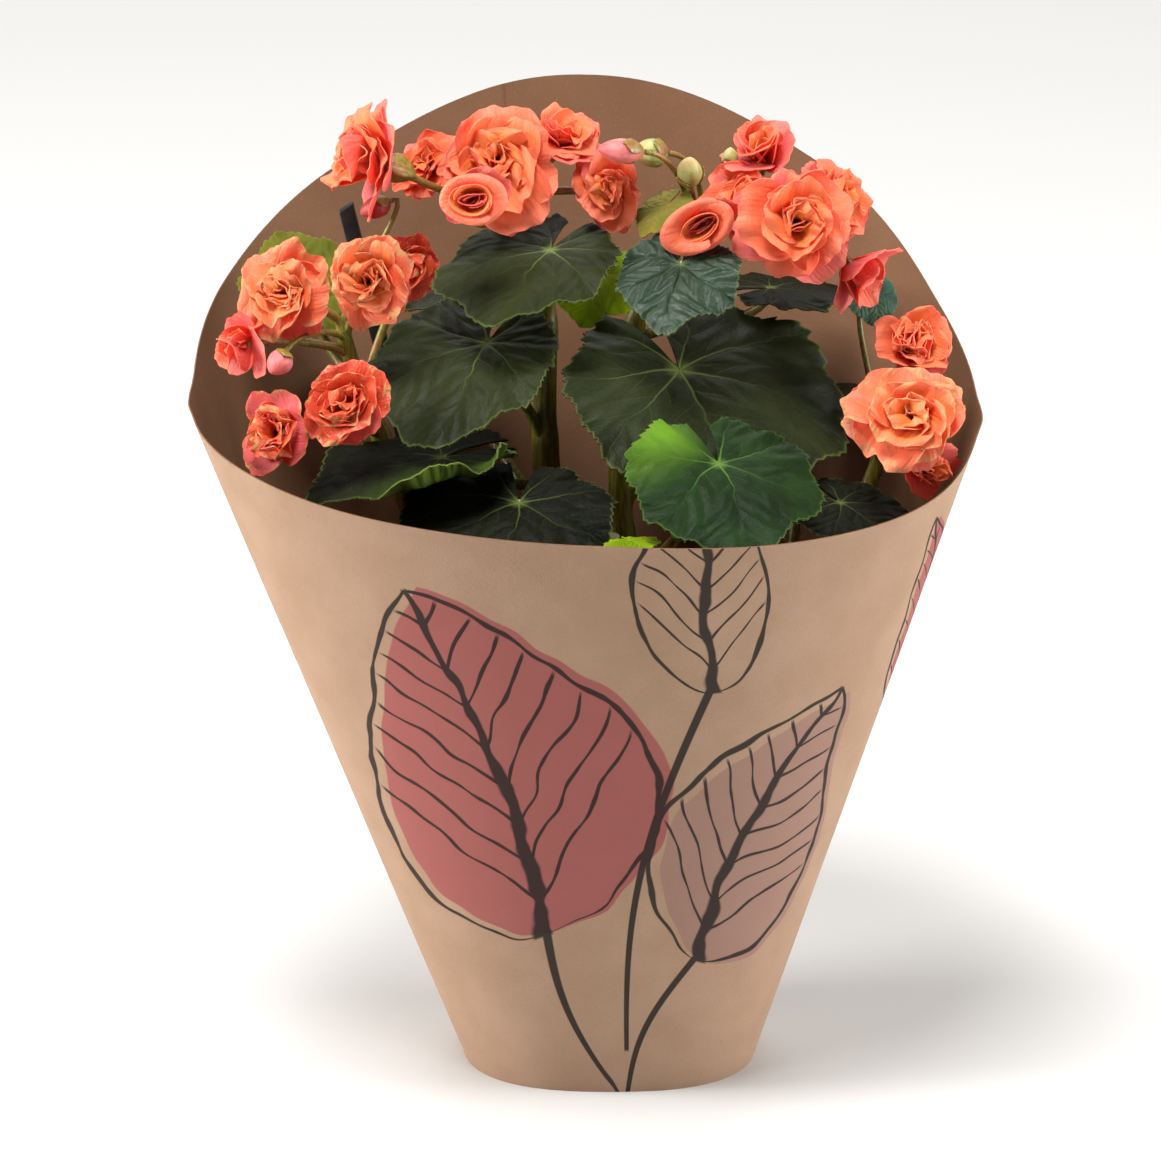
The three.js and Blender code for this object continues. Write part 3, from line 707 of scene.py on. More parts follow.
def pot_radius(z):
    return POT_FOOT + (POT_MOUTH - POT_FOOT) * z / POT_HEIGHT


def turned_piece(name, profile, sides, material):
    """A closed body turned round the Z axis from (radius, height) points that end on the axis."""
    angle = np.linspace(0, 2 * np.pi, sides, endpoint=False)
    radius, height = np.array(profile).T
    rings = np.stack([np.outer(radius, np.cos(angle)), np.outer(radius, np.sin(angle))], -1)
    rise = np.repeat(height[:, None, None], sides, axis=1)
    places = np.concatenate([rings, rise], -1).reshape(-1, 3)
    corner = np.arange(len(profile) * sides).reshape(len(profile), sides)
    beside = np.roll(corner, -1, axis=1)
    quads = np.stack([corner[:-1], beside[:-1], beside[1:], corner[1:]], -1).reshape(-1, 4)
    piece = mesh_object(name, places, quads, None, [material])
    weld = piece.modifiers.new("weld", "WELD")
    weld.merge_threshold = WELD_GAP
    return as_mesh(piece, name)


pot_plastic, tree, shader = new_finish("moulded pot plastic", 0.42)
spots = use_group(tree, mottling, Cloud_Size=0.012, Grain_Size=0.0006)
pot_colour = blend_colours(tree, spots["Cloud"], tint(112, 60, 46), tint(130, 73, 56))
cover(tree, shader, pot_colour, spots["Grain"], 0.25, 0.0001)

band_foot = POT_HEIGHT - BAND_HEIGHT
LIP = 0.0006  # how round the lip's edges are
pot_profile = [
    (0, 0), (POT_FOOT - 0.001, 0), (POT_FOOT, 0.001), (pot_radius(band_foot), band_foot - LIP),
    (pot_radius(band_foot) + BAND_PROUD - LIP, band_foot),
    (pot_radius(band_foot) + BAND_PROUD, band_foot + LIP),
    (POT_MOUTH + BAND_PROUD, POT_HEIGHT - LIP), (POT_MOUTH + BAND_PROUD - LIP, POT_HEIGHT),
    (POT_MOUTH - POT_WALL + LIP, POT_HEIGHT), (POT_MOUTH - POT_WALL, POT_HEIGHT - LIP),
    (pot_radius(POT_FLOOR) - POT_WALL, POT_FLOOR + LIP), (0, POT_FLOOR),
]
pot = turned_piece("growers_pot", pot_profile, POT_SIDES, pot_plastic)
drain_profile = [(0, -0.002), (DRAIN_RADIUS, -0.002), (DRAIN_RADIUS, 0.005), (0, 0.005)]
for k in range(DRAINS):
    drain = turned_piece("drain", drain_profile, 32, pot_plastic)
    spin = Matrix.Rotation(2 * math.pi * k / DRAINS, 4, "Z")
    drain.data.transform(spin @ Matrix.Translation((DRAIN_CIRCLE, 0, 0)))
    cut = pot.modifiers.new("drain", "BOOLEAN")
    cut.object = drain
    cut.operation = "DIFFERENCE"
    pot = as_mesh(pot, "growers_pot")
    bpy.data.objects.remove(drain)
pot.data.set_sharp_from_angle(angle=math.radians(50))
settle(pot, "pot")
print("Pot:", len(pot.data.polygons), "faces")

# %% Soil with scattered crumbs
SOIL_TOP, SOIL_MOUND = 0.092, 0.004
SOIL_SIDES, SOIL_RINGS = 120, 26
SOIL_CLEAR = 0.0005  # between the soil and the pot
SOIL_LUMPS = 0.0005

peat, tree, shader = new_finish("moist peat", 0.95, 0.2)
spots = use_group(tree, mottling, Cloud_Size=0.004, Grain_Size=0.0007)
soil_colour = blend_colours(tree, spots["Cloud"], tint(30, 20, 14), tint(66, 46, 32))
straw = fade(tree, spots["Grain"], 0.85, 1.0)
soil_colour = lay_over(tree, soil_colour, straw, 0.5, tint(110, 84, 58))
cover(tree, shader, soil_colour, spots["Grain"], 0.8, 0.0006)


def end_tree(tree, end, geometry, material):
    """The end of a Geometry Nodes tree: real geometry in one material."""
    real = add_node(tree, "GeometryNodeRealizeInstances", {"Geometry": geometry})
    inputs = {"Geometry": real.outputs[0], "Material": material}
    named = add_node(tree, "GeometryNodeSetMaterial", inputs)
    tree.links.new(named.outputs[0], end["Geometry"])


crumbs, start, end = node_group(
    "scattered crumbs", "GeometryNodeTree",
    [
        ("Geometry", GEOMETRY, None), ("Density", FLOAT, 60000.0),
        ("Smallest", FLOAT, 0.0006), ("Largest", FLOAT, 0.0022), ("Seed", WHOLE, 3),
        ("Material", MATERIAL, None),
    ],
    [("Geometry", GEOMETRY)],
)
upward = add_node(crumbs, "GeometryNodeInputNormal").outputs[0]
upward = add_node(crumbs, "ShaderNodeSeparateXYZ", {"Vector": upward}).outputs["Z"]
top_faces = maths(crumbs, "GREATER_THAN", upward, 0.3)
scatter = add_node(crumbs, "GeometryNodeDistributePointsOnFaces", {
    "Mesh": start["Geometry"], "Selection": top_faces, "Density": start["Density"],
    "Seed": start["Seed"],
})
crumb = add_node(crumbs, "GeometryNodeMeshIcoSphere", {"Radius": 1.0, "Subdivisions": 2})
dent = add_node(crumbs, "ShaderNodeTexNoise", {"Scale": 1.7, "Detail": 1.0})
push = add_node(crumbs, "ShaderNodeVectorMath", {0: dent.outputs["Color"]}, operation="SUBTRACT")
push.inputs[1].default_value = (0.5, 0.5, 0.5)
uneven = add_node(crumbs, "GeometryNodeSetPosition", {
    "Geometry": crumb.outputs["Mesh"], "Offset": push.outputs[0],
})
turns_of = add_node(crumbs, "FunctionNodeRandomValue", data_type="FLOAT_VECTOR")
ANY_TURN = 6.28  # a whole turn in radians
feed(crumbs, (ANY_TURN, ANY_TURN, ANY_TURN), turns_of.inputs[1])
sizes_of = add_node(crumbs, "FunctionNodeRandomValue", data_type="FLOAT")
feed(crumbs, start["Smallest"], sizes_of.inputs[2])
feed(crumbs, start["Largest"], sizes_of.inputs[3])
laid = add_node(crumbs, "GeometryNodeInstanceOnPoints", {
    "Points": scatter.outputs["Points"], "Instance": uneven.outputs[0],
    "Rotation": turns_of.outputs[0], "Scale": sizes_of.outputs[1],
})
together = add_node(crumbs, "GeometryNodeJoinGeometry")
crumbs.links.new(laid.outputs[0], together.inputs[0])
crumbs.links.new(start["Geometry"], together.inputs[0])
end_tree(crumbs, end, together.outputs[0], start["Material"])


def run_tree(source, group, name, **values):
    """The object with a Geometry Nodes tree baked in. Keywords are the tree's named inputs."""
    modifier = source.modifiers.new(group.name, "NODES")
    modifier.node_group = group
    for item in group.interface.items_tree:
        label = item.name.replace(" ", "_")
        if item.in_out == "INPUT" and label in values:
            modifier[item.identifier] = values[label]
    return as_mesh(source, name)


def stored(tree, name, kind):
    """The values that the points carry under that name."""
    node = add_node(tree, "GeometryNodeInputNamedAttribute", data_type=kind)
    node.inputs["Name"].default_value = name
    return node.outputs[0]


def marked_points(name, places, **marks):
    """An object of bare points, with a whole number, a number or three numbers on each."""
    mesh = bpy.data.meshes.new(name)
    mesh.from_pydata(places.tolist(), [], [])
    for label, values in marks.items():
        values = np.array(values)
        kind, field = ("FLOAT", "value") if values.ndim == 1 else ("FLOAT_VECTOR", "vector")
        if values.dtype.kind == "i":
            kind = "INT"
        mesh.attributes.new(label, kind, "POINT").data.foreach_set(field, values.ravel())
    return new_object(name, mesh)


def build_soil():
    inner = pot_radius(SOIL_TOP) - POT_WALL - SOIL_CLEAR
    foot = pot_radius(POT_FLOOR) - POT_WALL - 0.0008
    shares = np.linspace(1, 0, SOIL_RINGS)
    profile = [(0, POT_FLOOR + SOIL_CLEAR), (foot, POT_FLOOR + SOIL_CLEAR)]
    profile += [(inner * s, SOIL_TOP + SOIL_MOUND * (1 - s**2)) for s in shares]
    piece = turned_piece("soil_mound", profile, SOIL_SIDES, peat)
    places = np.zeros(len(piece.data.vertices) * 3)
    piece.data.vertices.foreach_get("co", places)
    x, y, z = places.reshape(-1, 3).T
    lumps = np.sin(x * 900 + 1) * np.cos(y * 800) + np.sin((x + y) * 470)
    lumps = lumps + 0.5 * np.sin(x * 1900 - y * 1500)
    z += np.where(z > SOIL_TOP + 0.0001, SOIL_LUMPS * lumps, 0)
    piece.data.vertices.foreach_set("co", np.stack([x, y, z], -1).ravel())
    return run_tree(piece, crumbs, "potting_soil", Material=peat, Density=42000.0, Seed=3)


soil = build_soil()
settle(soil, "soil")
print("Soil:", len(soil.data.polygons), "faces")

# %% [markdown]
# ## The stick
#
# A plain black stick stands in the soil and holds up the left-hand stems. It is square, with
# slightly rounded edges, and its top is cut at a slant.

# %% Stick
STICK_FOOT, STICK_TOP = Vector((-28, 14, 30)) * MM, Vector((-97, 34, 321)) * MM
STICK_WIDTH = 0.0056
STICK_SLANT = -0.35  # of its cut top

black_plastic, tree, shader = new_finish("black stick plastic", 0.5, 0.3)
spots = use_group(tree, mottling, Cloud_Size=0.006, Grain_Size=0.0004)
stick_colour = blend_colours(tree, spots["Cloud"], tint(13, 12, 12), tint(26, 24, 23))
cover(tree, shader, stick_colour, spots["Grain"], 0.2, 0.0001)


def build_stick():
    axis = (STICK_TOP - STICK_FOOT).normalized()
    side = axis.cross(Vector((0, 1, 0))).normalized()
    depth = axis.cross(side)
    half = STICK_WIDTH / 2
    corners = [(-half, -half), (half, -half), (half, half), (-half, half)]
    places = []
    for end_place, slant in ((STICK_FOOT, 0.0), (STICK_TOP, STICK_SLANT)):
        for a, b in corners:
            places.append(end_place + side * a + depth * b + axis * (a - half) * slant)
    faces = [[3, 2, 1, 0], [4, 5, 6, 7], [0, 1, 5, 4], [1, 2, 6, 5], [2, 3, 7, 6], [3, 0, 4, 7]]
    piece = mesh_object("support_stick", np.array(places), np.array(faces), None, [black_plastic])
    rounded = piece.modifiers.new("edges", "BEVEL")
    rounded.width = 0.0006
    rounded.segments = 3
    piece = as_mesh(piece, "support_stick")
    piece.data.set_sharp_from_angle(angle=math.radians(40))
    return piece


stick = build_stick()
settle(stick, "support_stake")
print("Stick:", round((STICK_TOP - STICK_FOOT).length / MM), "mm long")

# %% [markdown]
# ## The plan of the plant
#
# This table says where everything grows. It has the same places and sizes as the CAD model, so
# that each fine piece lies on its solid. A stem has a route from the soil upwards. start is the
# share of the stem's length at which a leaf, a flower or a bud leaves it. head is the compass
# angle that a leaf's tip or a flower's face points to, with 0 to the right and -90 to the front,
# and tilt is how far it points up. What only some organs have follows by name: via is a place
# that the stalk passes through, lifts are lobes of a leaf that curl up and are painted brighter,
# partly as the paler underside that the curl shows and partly as painted light, press flattens a
# flower along an angle across its face, and grow makes its petals larger. finish picks a colour:
# the leaves in painted shade are darker because they lie in the shade of the plant, and the olive
# leaf is painted bright for the light that shines through it from behind.

# %% The plan
def grows(start, at, head, tilt, size, **more):
    """A leaf, a flower or a bud, with its place and its size in millimetres."""
    return dict(start=start, at=at, head=head, tilt=tilt, size=size, **more)


STEMS = {
    "middle": {
        "route": [(-8, 2, 62), (-18, 6, 150), (-24, 8, 240), (-24, 16, 286), (-28, 38, 312), (-33, 36, 330)],
        "radius": (6, 3.6),
        "leaves": {
            "upper_middle": grows(0.79, (-22, 0, 315), -116, -14, 40, skew=-0.18),
            "left": grows(0.6, (-45, -14, 284), -114, -24, 44, skew=-0.22),
            "behind_left": grows(0.64, (-54, 46, 287), 120, -4, 38),
            "rear_left": grows(0.46, (-58, 58, 256), 130, -4, 31),
            "low_left": grows(0.54, (-61, -36, 248), -156, -4, 45, skew=-0.1, finish="deep leaf",
                             lifts=[(62, 26, 0.3, 7, 0.4), (120, 20, 0.25, 6, 0.25)]),
        },
        "blooms": {
            "01": grows(0.98, (-81, 6, 345), 190, 22, 38, open=0.85, via=(-54, 18, 325), form="side"),
            "02": grows(1, (-43, 15, 341), -88, 32, 42, turn=20),
            "03": grows(0.97, (-49, -20, 340), -95, 18, 29, open=0.62,
                       via=(-56, -12, 318), form="cup", press=(80, 0.82)),
            "04": grows(1, (-18, 28, 346), -60, 60, 27, open=0.8, form="open"),
            "05": grows(0.99, (-66, 30, 336), -120, 45, 26, open=0.8, form="open"),
            "12": grows(0.97, (0, 18, 332), -90, 20, 27, open=0.8),
        },
    },
    "left": {
        "route": [(-22, 2, 62), (-46, 8, 140), (-74, 8, 212), (-92, 6, 262), (-98, 4, 284)],
        "radius": (5, 2.8),
        "leaves": {
            "back_left": grows(0.72, (-112, 42, 284), 112, 42, 29, roll=-12, finish="olive leaf"),
        },
        "blooms": {
            "06": grows(1, (-116, -12, 302), -112, 25, 34, finish="drying"),
            "07": grows(0.98, (-85, -20, 310), -98, 22, 34, finish="drying", turn=50),
            "08": grows(0.94, (-130, -16, 285), -140, 5, 27, open=0.6, form="pink"),
            "09": grows(0.85, (-93, -44, 270), -95, 30, 31, open=0.8, turn=10, finish="ember"),
            "10": grows(0.8, (-118, -36, 256), -115, 30, 29, open=0.8, form="aged", finish="ember"),
            "11": grows(0.88, (-73, 15, 305), -85, 10, 23, open=0.8, finish="ember"),
        },
        "buds": {
            "dark": grows(1, (-80, 10, 331), 195, -20, 12, finish="red"),
            "left": grows(0.97, (-117, -26, 285), -120, -30, 11, plump=1.2, finish="pink"),
        },
    },
    "back": {
        "route": [(6, 14, 62), (6, 30, 150), (4, 40, 225), (8, 42, 270), (20, 40, 300), (36, 32, 316)],
        "radius": (6, 3.2),
        "leaves": {
            "big_right": grows(0.62, (25, -8, 272), -56, -32, 70, long=0.79, skew=0.15),
            "rear_middle": grows(0.5, (30, 58, 248), 80, -4, 35),
            "behind_right": grows(0.75, (60, 52, 285), 40, -4, 34, finish="deep leaf"),
            "young_middle": grows(0.8, (-3, 29, 297), -112, -35, 20, finish="young leaf"),
            "crinkled": grows(0.87, (25, -14, 314), -100, -28, 27, waves=0.1, bulge=0.18,
                             relief=5, finish="glossy leaf"),
            "bract": grows(0.95, (21, 8, 330), -140, -30, 14, finish="bract"),
        },
        "blooms": {
            "16": grows(1, (35, -4, 327), -110, 5, 33, open=0.6, form="cup",
                       press=(127, 0.62)),
            "17": grows(0.99, (66, -4, 325), -88, 22, 41, turn=35, form="open"),
            "18": grows(1, (56, 24, 342), -110, 60, 27, open=0.6, form="pink", grow=1.2),
            "19": grows(0.99, (78, 14, 329), -40, 30, 29, open=0.9),
            "20": grows(0.97, (86, 8, 308), -40, -35, 29, open=0.6, form="pink", grow=1.2),
            "27": grows(1, (50, 14, 329), -90, 30, 26, open=0.9, grow=1.15),
        },
        "buds": {
            "pink": grows(0.97, (12, 4, 351), 185, 5, 17, plump=0.8, finish="pink"),
            "round": grows(0.99, (21, 20, 346), 185, 5, 13, plump=1.2, finish="green"),
            "tipped": grows(0.99, (29, 11, 336), -120, 70, 13, hook=0.16, finish="green"),
            "pale": grows(1, (44, 20, 340), 100, 70, 8, plump=1.1, finish="green"),
        },
    },
    "right": {
        "route": [(26, -2, 62), (58, 2, 140), (88, 6, 205), (101, 6, 240), (104, 8, 256)],
        "radius": (5, 2.6),
        "leaves": {
            "low_right": grows(0.62, (83, -34, 230), -42, -12, 29, finish="deep leaf"),
            "rear_right": grows(0.48, (80, 46, 246), 25, -4, 28),
            "young_right": grows(0.9, (95, 22, 294), -60, -50, 13, finish="teal leaf"),
        },
        "blooms": {
            "21": grows(1, (109, 4, 275), -70, 40, 31, open=0.8, form="side"),
            "22": grows(0.96, (108, -40, 265), -100, 28, 38, finish="drying", turn=15, form="open"),
            "23": grows(0.88, (110, -32, 244), -60, -5, 24, open=0.8, form="aged", grow=1.15),
        },
    },
    "front": {
        "route": [(4, -14, 62), (5, -30, 140), (2, -38, 200), (0, -42, 220)],
        "radius": (4.5, 2.8),
        "leaves": {
            "front_right": grows(0.84, (38, -61, 254), -70, -24, 43, long=0.86, via=(27, -69, 232),
                                finish="fresh leaf", lifts=[(-128, 34, 0.2, 1.6, 0.72)]),
            "front": grows(0.95, (-33, -54, 237), -95, -22, 48, long=0.8, skew=-0.12, finish="deep leaf"),
            "rim": grows(0.99, (6, -80, 232), -60, 10, 12, finish="young leaf", via=(12, -60, 214)),
        },
    },
}


def metres(place):
    return np.array(place, float) * MM


def heading(head, tilt):
    """The way that a leaf's tip or a flower's face points."""
    h, t = math.radians(head), math.radians(tilt)
    return np.array([math.cos(h) * math.cos(t), math.sin(h) * math.cos(t), math.sin(t)])


print("Leaves:", sum(len(stem["leaves"]) for stem in STEMS.values()))
print("Flowers:", sum(len(stem.get("blooms", {})) for stem in STEMS.values()))

# %% [markdown]
# ## Stems and stalks
#
# Stems, leaf stalks and flower stalks are all fleshy rods that follow a line. Each line becomes
# a curve with a radius at every point, and one Geometry Nodes tree sweeps a circle along it. A
# begonia's stem is a little swollen where something grows from it, which is only a change of
# radius.

# %% Lines through space
def evenly(line, count):
    """The same line with its points at even distances."""
    steps = np.linalg.norm(np.diff(line, axis=0), axis=1)
    travelled = np.concatenate([[0], np.cumsum(steps)])
    wanted = np.linspace(0, travelled[-1], count)
    return np.stack([np.interp(wanted, travelled, line[:, k]) for k in range(3)], -1)


def smooth_line(points, count=80):
    """An even line along a centripetal Catmull-Rom curve through the points."""
    ends = [2 * points[0] - points[1], *points, 2 * points[-1] - points[-2]]
    dense = []
    for a, b, c, d in zip(ends, ends[1:], ends[2:], ends[3:]):
        before, here, after = (np.linalg.norm(q - p) ** 0.5 for p, q in ((a, b), (b, c), (c, d)))
        out = ((b - a) / before - (c - a) / (before + here) + (c - b) / here) * here
        into = ((c - b) / here - (d - b) / (here + after) + (d - c) / after) * here
        for t in np.linspace(0, 1, 24):
            square, cube = t * t, t * t * t
            place_now = (2 * cube - 3 * square + 1) * b + (cube - 2 * square + t) * out
            place_now = place_now + (3 * square - 2 * cube) * c + (cube - square) * into
            dense.append(place_now)
    return evenly(np.array(dense), count)


def bezier_line(a, b, c, d, count=24):
    t = np.linspace(0, 1, 60)[:, None]
    line = (1 - t) ** 3 * a + 3 * (1 - t) ** 2 * t * b + 3 * (1 - t) * t**2 * c + t**3 * d
    return evenly(line, count)


def along_line(line, share):
    """The place at that share of an even line."""
    steps = np.linspace(0, 1, len(line))
    return np.array([np.interp(share, steps, line[:, k]) for k in range(3)])

# %% Geometry Nodes: a round rod along a curve
rod_tree, start, end = node_group(
    "round rod", "GeometryNodeTree",
    [("Geometry", GEOMETRY, None), ("Sides", WHOLE, 14), ("Material", MATERIAL, None)],
    [("Geometry", GEOMETRY)],
)
ring = add_node(rod_tree, "GeometryNodeCurvePrimitiveCircle", {
    "Resolution": start["Sides"], "Radius": 1.0,
})
swept = add_node(rod_tree, "GeometryNodeCurveToMesh", {
    "Curve": start["Geometry"], "Profile Curve": ring.outputs["Curve"], "Fill Caps": True,
    "Scale": add_node(rod_tree, "GeometryNodeInputRadius").outputs[0],
})
smooth = add_node(rod_tree, "GeometryNodeSetShadeSmooth", {"Geometry": swept.outputs[0]})
end_tree(rod_tree, end, smooth.outputs[0], start["Material"])


def rods(name, lines, material, sides=14):
    """One mesh of round rods from (points, radii) pairs."""
    curve = bpy.data.curves.new(name, "CURVE")
    curve.dimensions = "3D"
    for points, radii in lines:
        spline = curve.splines.new("POLY")
        spline.points.add(len(points) - 1)
        spline.points.foreach_set("co", np.column_stack([points, np.ones(len(points))]).ravel())
        spline.points.foreach_set("radius", radii)
    return run_tree(new_object(name, curve), rod_tree, name, Sides=sides, Material=material)

# %% Finish of stems and stalks
def let_light_spread(shader, weight, radius):
    """Some light spreads under the skin, as it does in fleshy parts."""
    shader.inputs["Subsurface Weight"].default_value = weight
    shader.inputs["Subsurface Radius"].default_value = radius
    shader.inputs["Subsurface Scale"].default_value = 0.002


def stalk_finish(name, pale_green, deep_green, blush, blush_share):
    """Fleshy green skin with fine lines along it and a reddish blush."""
    material, tree, shader = new_finish(name, 0.38)
    spots = use_group(tree, mottling, Cloud_Size=0.009, Grain_Size=0.0007)
    where = add_node(tree, "ShaderNodeTexCoord").outputs["Object"]
    stretch = add_node(tree, "ShaderNodeMapping", {"Vector": where})
    stretch.inputs["Scale"].default_value = (900, 900, 60)
    lines = noise(tree, stretch.outputs[0], 1.0)["Fac"]
    skin = blend_colours(tree, fade(tree, lines, 0.35, 0.65), deep_green, pale_green)
    skin = lay_over(tree, skin, spots["Cloud"], blush_share, blush)
    cover(tree, shader, skin, lines, 0.25, 0.0003)
    vary_roughness(tree, shader, spots["Grain"], 0.32, 0.5)
    let_light_spread(shader, 0.12, (0.6, 1.0, 0.3))
    return material


stem_skin = stalk_finish("fleshy stem", tint(118, 118, 26), tint(76, 78, 14), tint(122, 74, 36), 0.3)
stalk_skin = stalk_finish("flower stalk", tint(142, 136, 52), tint(108, 100, 34), tint(156, 84, 58), 0.6)
petiole_skin = stalk_finish("leaf stalk", tint(112, 120, 36), tint(78, 86, 22), tint(128, 68, 44), 0.45)

# %% Stems with their flower stalks
FLOWER_STALK, BUD_STALK = (1.8, 1.3), (1.4, 0.9)  # radii at the foot and near the top, in mm
STALK_END = 1.25  # how much wider a stalk gets where it meets its flower
STALK_REACH = 0.35  # how far a stalk keeps its first and last direction, as a share of its length
LAST_REACH = 0.012  # the most of it that lies along the flower's axis
STALK_GAP = 0.0003  # between a stalk and its flower
LOWEST_JOINT = 0.3  # the share of a stem's length where a leaf has come off


def swollen(radii, shares, places, swell=0.16, reach=0.02):
    """Radii with a slight swelling at each of the given shares."""
    for spot in places:
        radii = radii * (1 + swell * np.exp(-(((shares - spot) / reach) ** 2)))
    return radii


def flower_stalk(line, organ, radii):
    """A stalk that leaves the stem upwards and meets the flower along its axis."""
    face = heading(organ["head"], organ["tilt"])
    first = along_line(line, organ["start"])
    last = metres(organ["at"]) - face * STALK_GAP
    reach = np.linalg.norm(last - first) * STALK_REACH
    rise = metres(organ["via"]) if "via" in organ else first + np.array([0, 0, reach * 0.6])
    points = bezier_line(first, rise, last - face * min(reach, LAST_REACH), last)
    shares = np.linspace(0, 1, len(points))
    thick, thin = radii
    radii = np.interp(shares, [0, 0.85, 1], [thick * MM, thin * MM, thin * STALK_END * MM])
    return points, swollen(radii, shares, [0.02], 0.25, 0.05)


stem_lines = {}
for name, stem in STEMS.items():
    line = smooth_line([metres(place) for place in stem["route"]])
    stem_lines[name] = line
    shares = np.linspace(0, 1, len(line))
    radii = np.interp(shares, [0, 1], [r * MM for r in stem["radius"]])
    joints = [leaf["start"] for leaf in stem["leaves"].values()]
    main_line = (line, swollen(radii, shares, [*joints, LOWEST_JOINT]))
    parts = [rods(f"main_stem_{name}", [main_line], stem_skin, 20)]
    stalks = [flower_stalk(line, organ, FLOWER_STALK) for organ in stem.get("blooms", {}).values()]
    stalks += [flower_stalk(line, organ, BUD_STALK) for organ in stem.get("buds", {}).values()]
    if stalks:
        parts.append(rods("stalks", stalks, stalk_skin, 12))
    piece = join_pieces(f"main_stem_{name}", parts)
    settle(piece, f"stem_{name}")
    print(piece.name, len(piece.data.polygons), "faces")

# %% [markdown]
# ## The veins of a leaf
#
# A begonia's leaf has main veins that spread from the end of its stalk like the fingers of a
# hand, side veins that branch off them, and a fine net between. The leaf's UV map holds the
# angle round the stalk's end and the distance from it, so the group can fold all main veins onto
# one and measure how far a place is from it.

# %% Shader group: leaf veins
MAIN_VEINS = 7
VEIN_STEP = 2 * math.pi / MAIN_VEINS  # between two main veins
SIDE_STEP = 0.19  # between two side veins, as a share of the leaf's size
SIDE_SLANT = 0.9  # how far the side veins lean outwards
VEIN_END = 1.15  # the distance, in leaf sizes, at which a main vein would thin to nothing

leaf_veins, start, end = node_group(
    "leaf veins", "ShaderNodeTree",
    [("Main Width", FLOAT, 0.0105), ("Side Width", FLOAT, 0.006)],
    [("Main", FLOAT), ("Side", FLOAT), ("Net", FLOAT), ("Reach", FLOAT), ("Pillow", FLOAT)],
)
turned, away = uv_parts(leaf_veins, "blade")
main_width, side_width = numbers(leaf_veins, start, "Main Width", "Side Width")


def vein_line(distance, width):
    """1 within 0.3 of the width, and 0 outside it."""
    return 1.0 - fade(leaf_veins, distance, width * 0.3, width)


straight = turned * (2 * math.pi)
flat_x, flat_y = away * straight.then("COSINE"), away * straight.then("SINE")
flat = add_node(leaf_veins, "ShaderNodeCombineXYZ", {"X": flat_x, "Y": flat_y}).outputs[0]
stray = noise(leaf_veins, flat, 3.2)["Color"]
stray = add_node(leaf_veins, "ShaderNodeSeparateColor", {"Color": stray}).outputs
stray_angle, stray_reach = numbers(leaf_veins, stray, 0, 1)
STRAY_ANGLE, STRAY_REACH = 0.34, 0.22  # how far veins wander, from end to end of the noise
angle = straight + (stray_angle - 0.5) * STRAY_ANGLE
reach = away + (stray_reach - 0.5) * (away * STRAY_REACH)
folded = angle.then("PINGPONG", VEIN_STEP / 2)
beside = reach * folded.then("SINE")
down = reach * folded.then("COSINE")
main_mask = vein_line(beside, main_width * (VEIN_END - reach))
parity = (angle / (VEIN_STEP / 2)).then("FLOOR").then("FLOORED_MODULO", 2.0)
branch = down - beside * SIDE_SLANT + parity * (SIDE_STEP / 2)
to_side = branch.then("PINGPONG", SIDE_STEP / 2)
side_mask = vein_line(to_side, side_width) * fade(leaf_veins, reach, 0.1, 0.22)
cells = add_node(
    leaf_veins, "ShaderNodeTexVoronoi", {"Vector": flat, "Scale": 26.0}, feature="DISTANCE_TO_EDGE"
)
net_mask = 1.0 - fade(leaf_veins, cells.outputs["Distance"], 0.02, 0.14)
pillow = fade(leaf_veins, to_side.then("MINIMUM", beside), 0.0, SIDE_STEP / 2)
set_outputs(
    leaf_veins, end, Main=main_mask, Side=side_mask, Net=net_mask, Reach=reach, Pillow=pillow
)

# %% Leaf finishes
SIDE_VEINS, VEIN_NET, PALE_RIM = 0.3, 0.03, 0.35  # how well they show beside the main veins
VEIN_GROOVES = {"Main": 0.7, "Side": 0.35, "Net": 0.07}  # how deep, in heights of a cushion
BLADE_RELIEF = 0.001


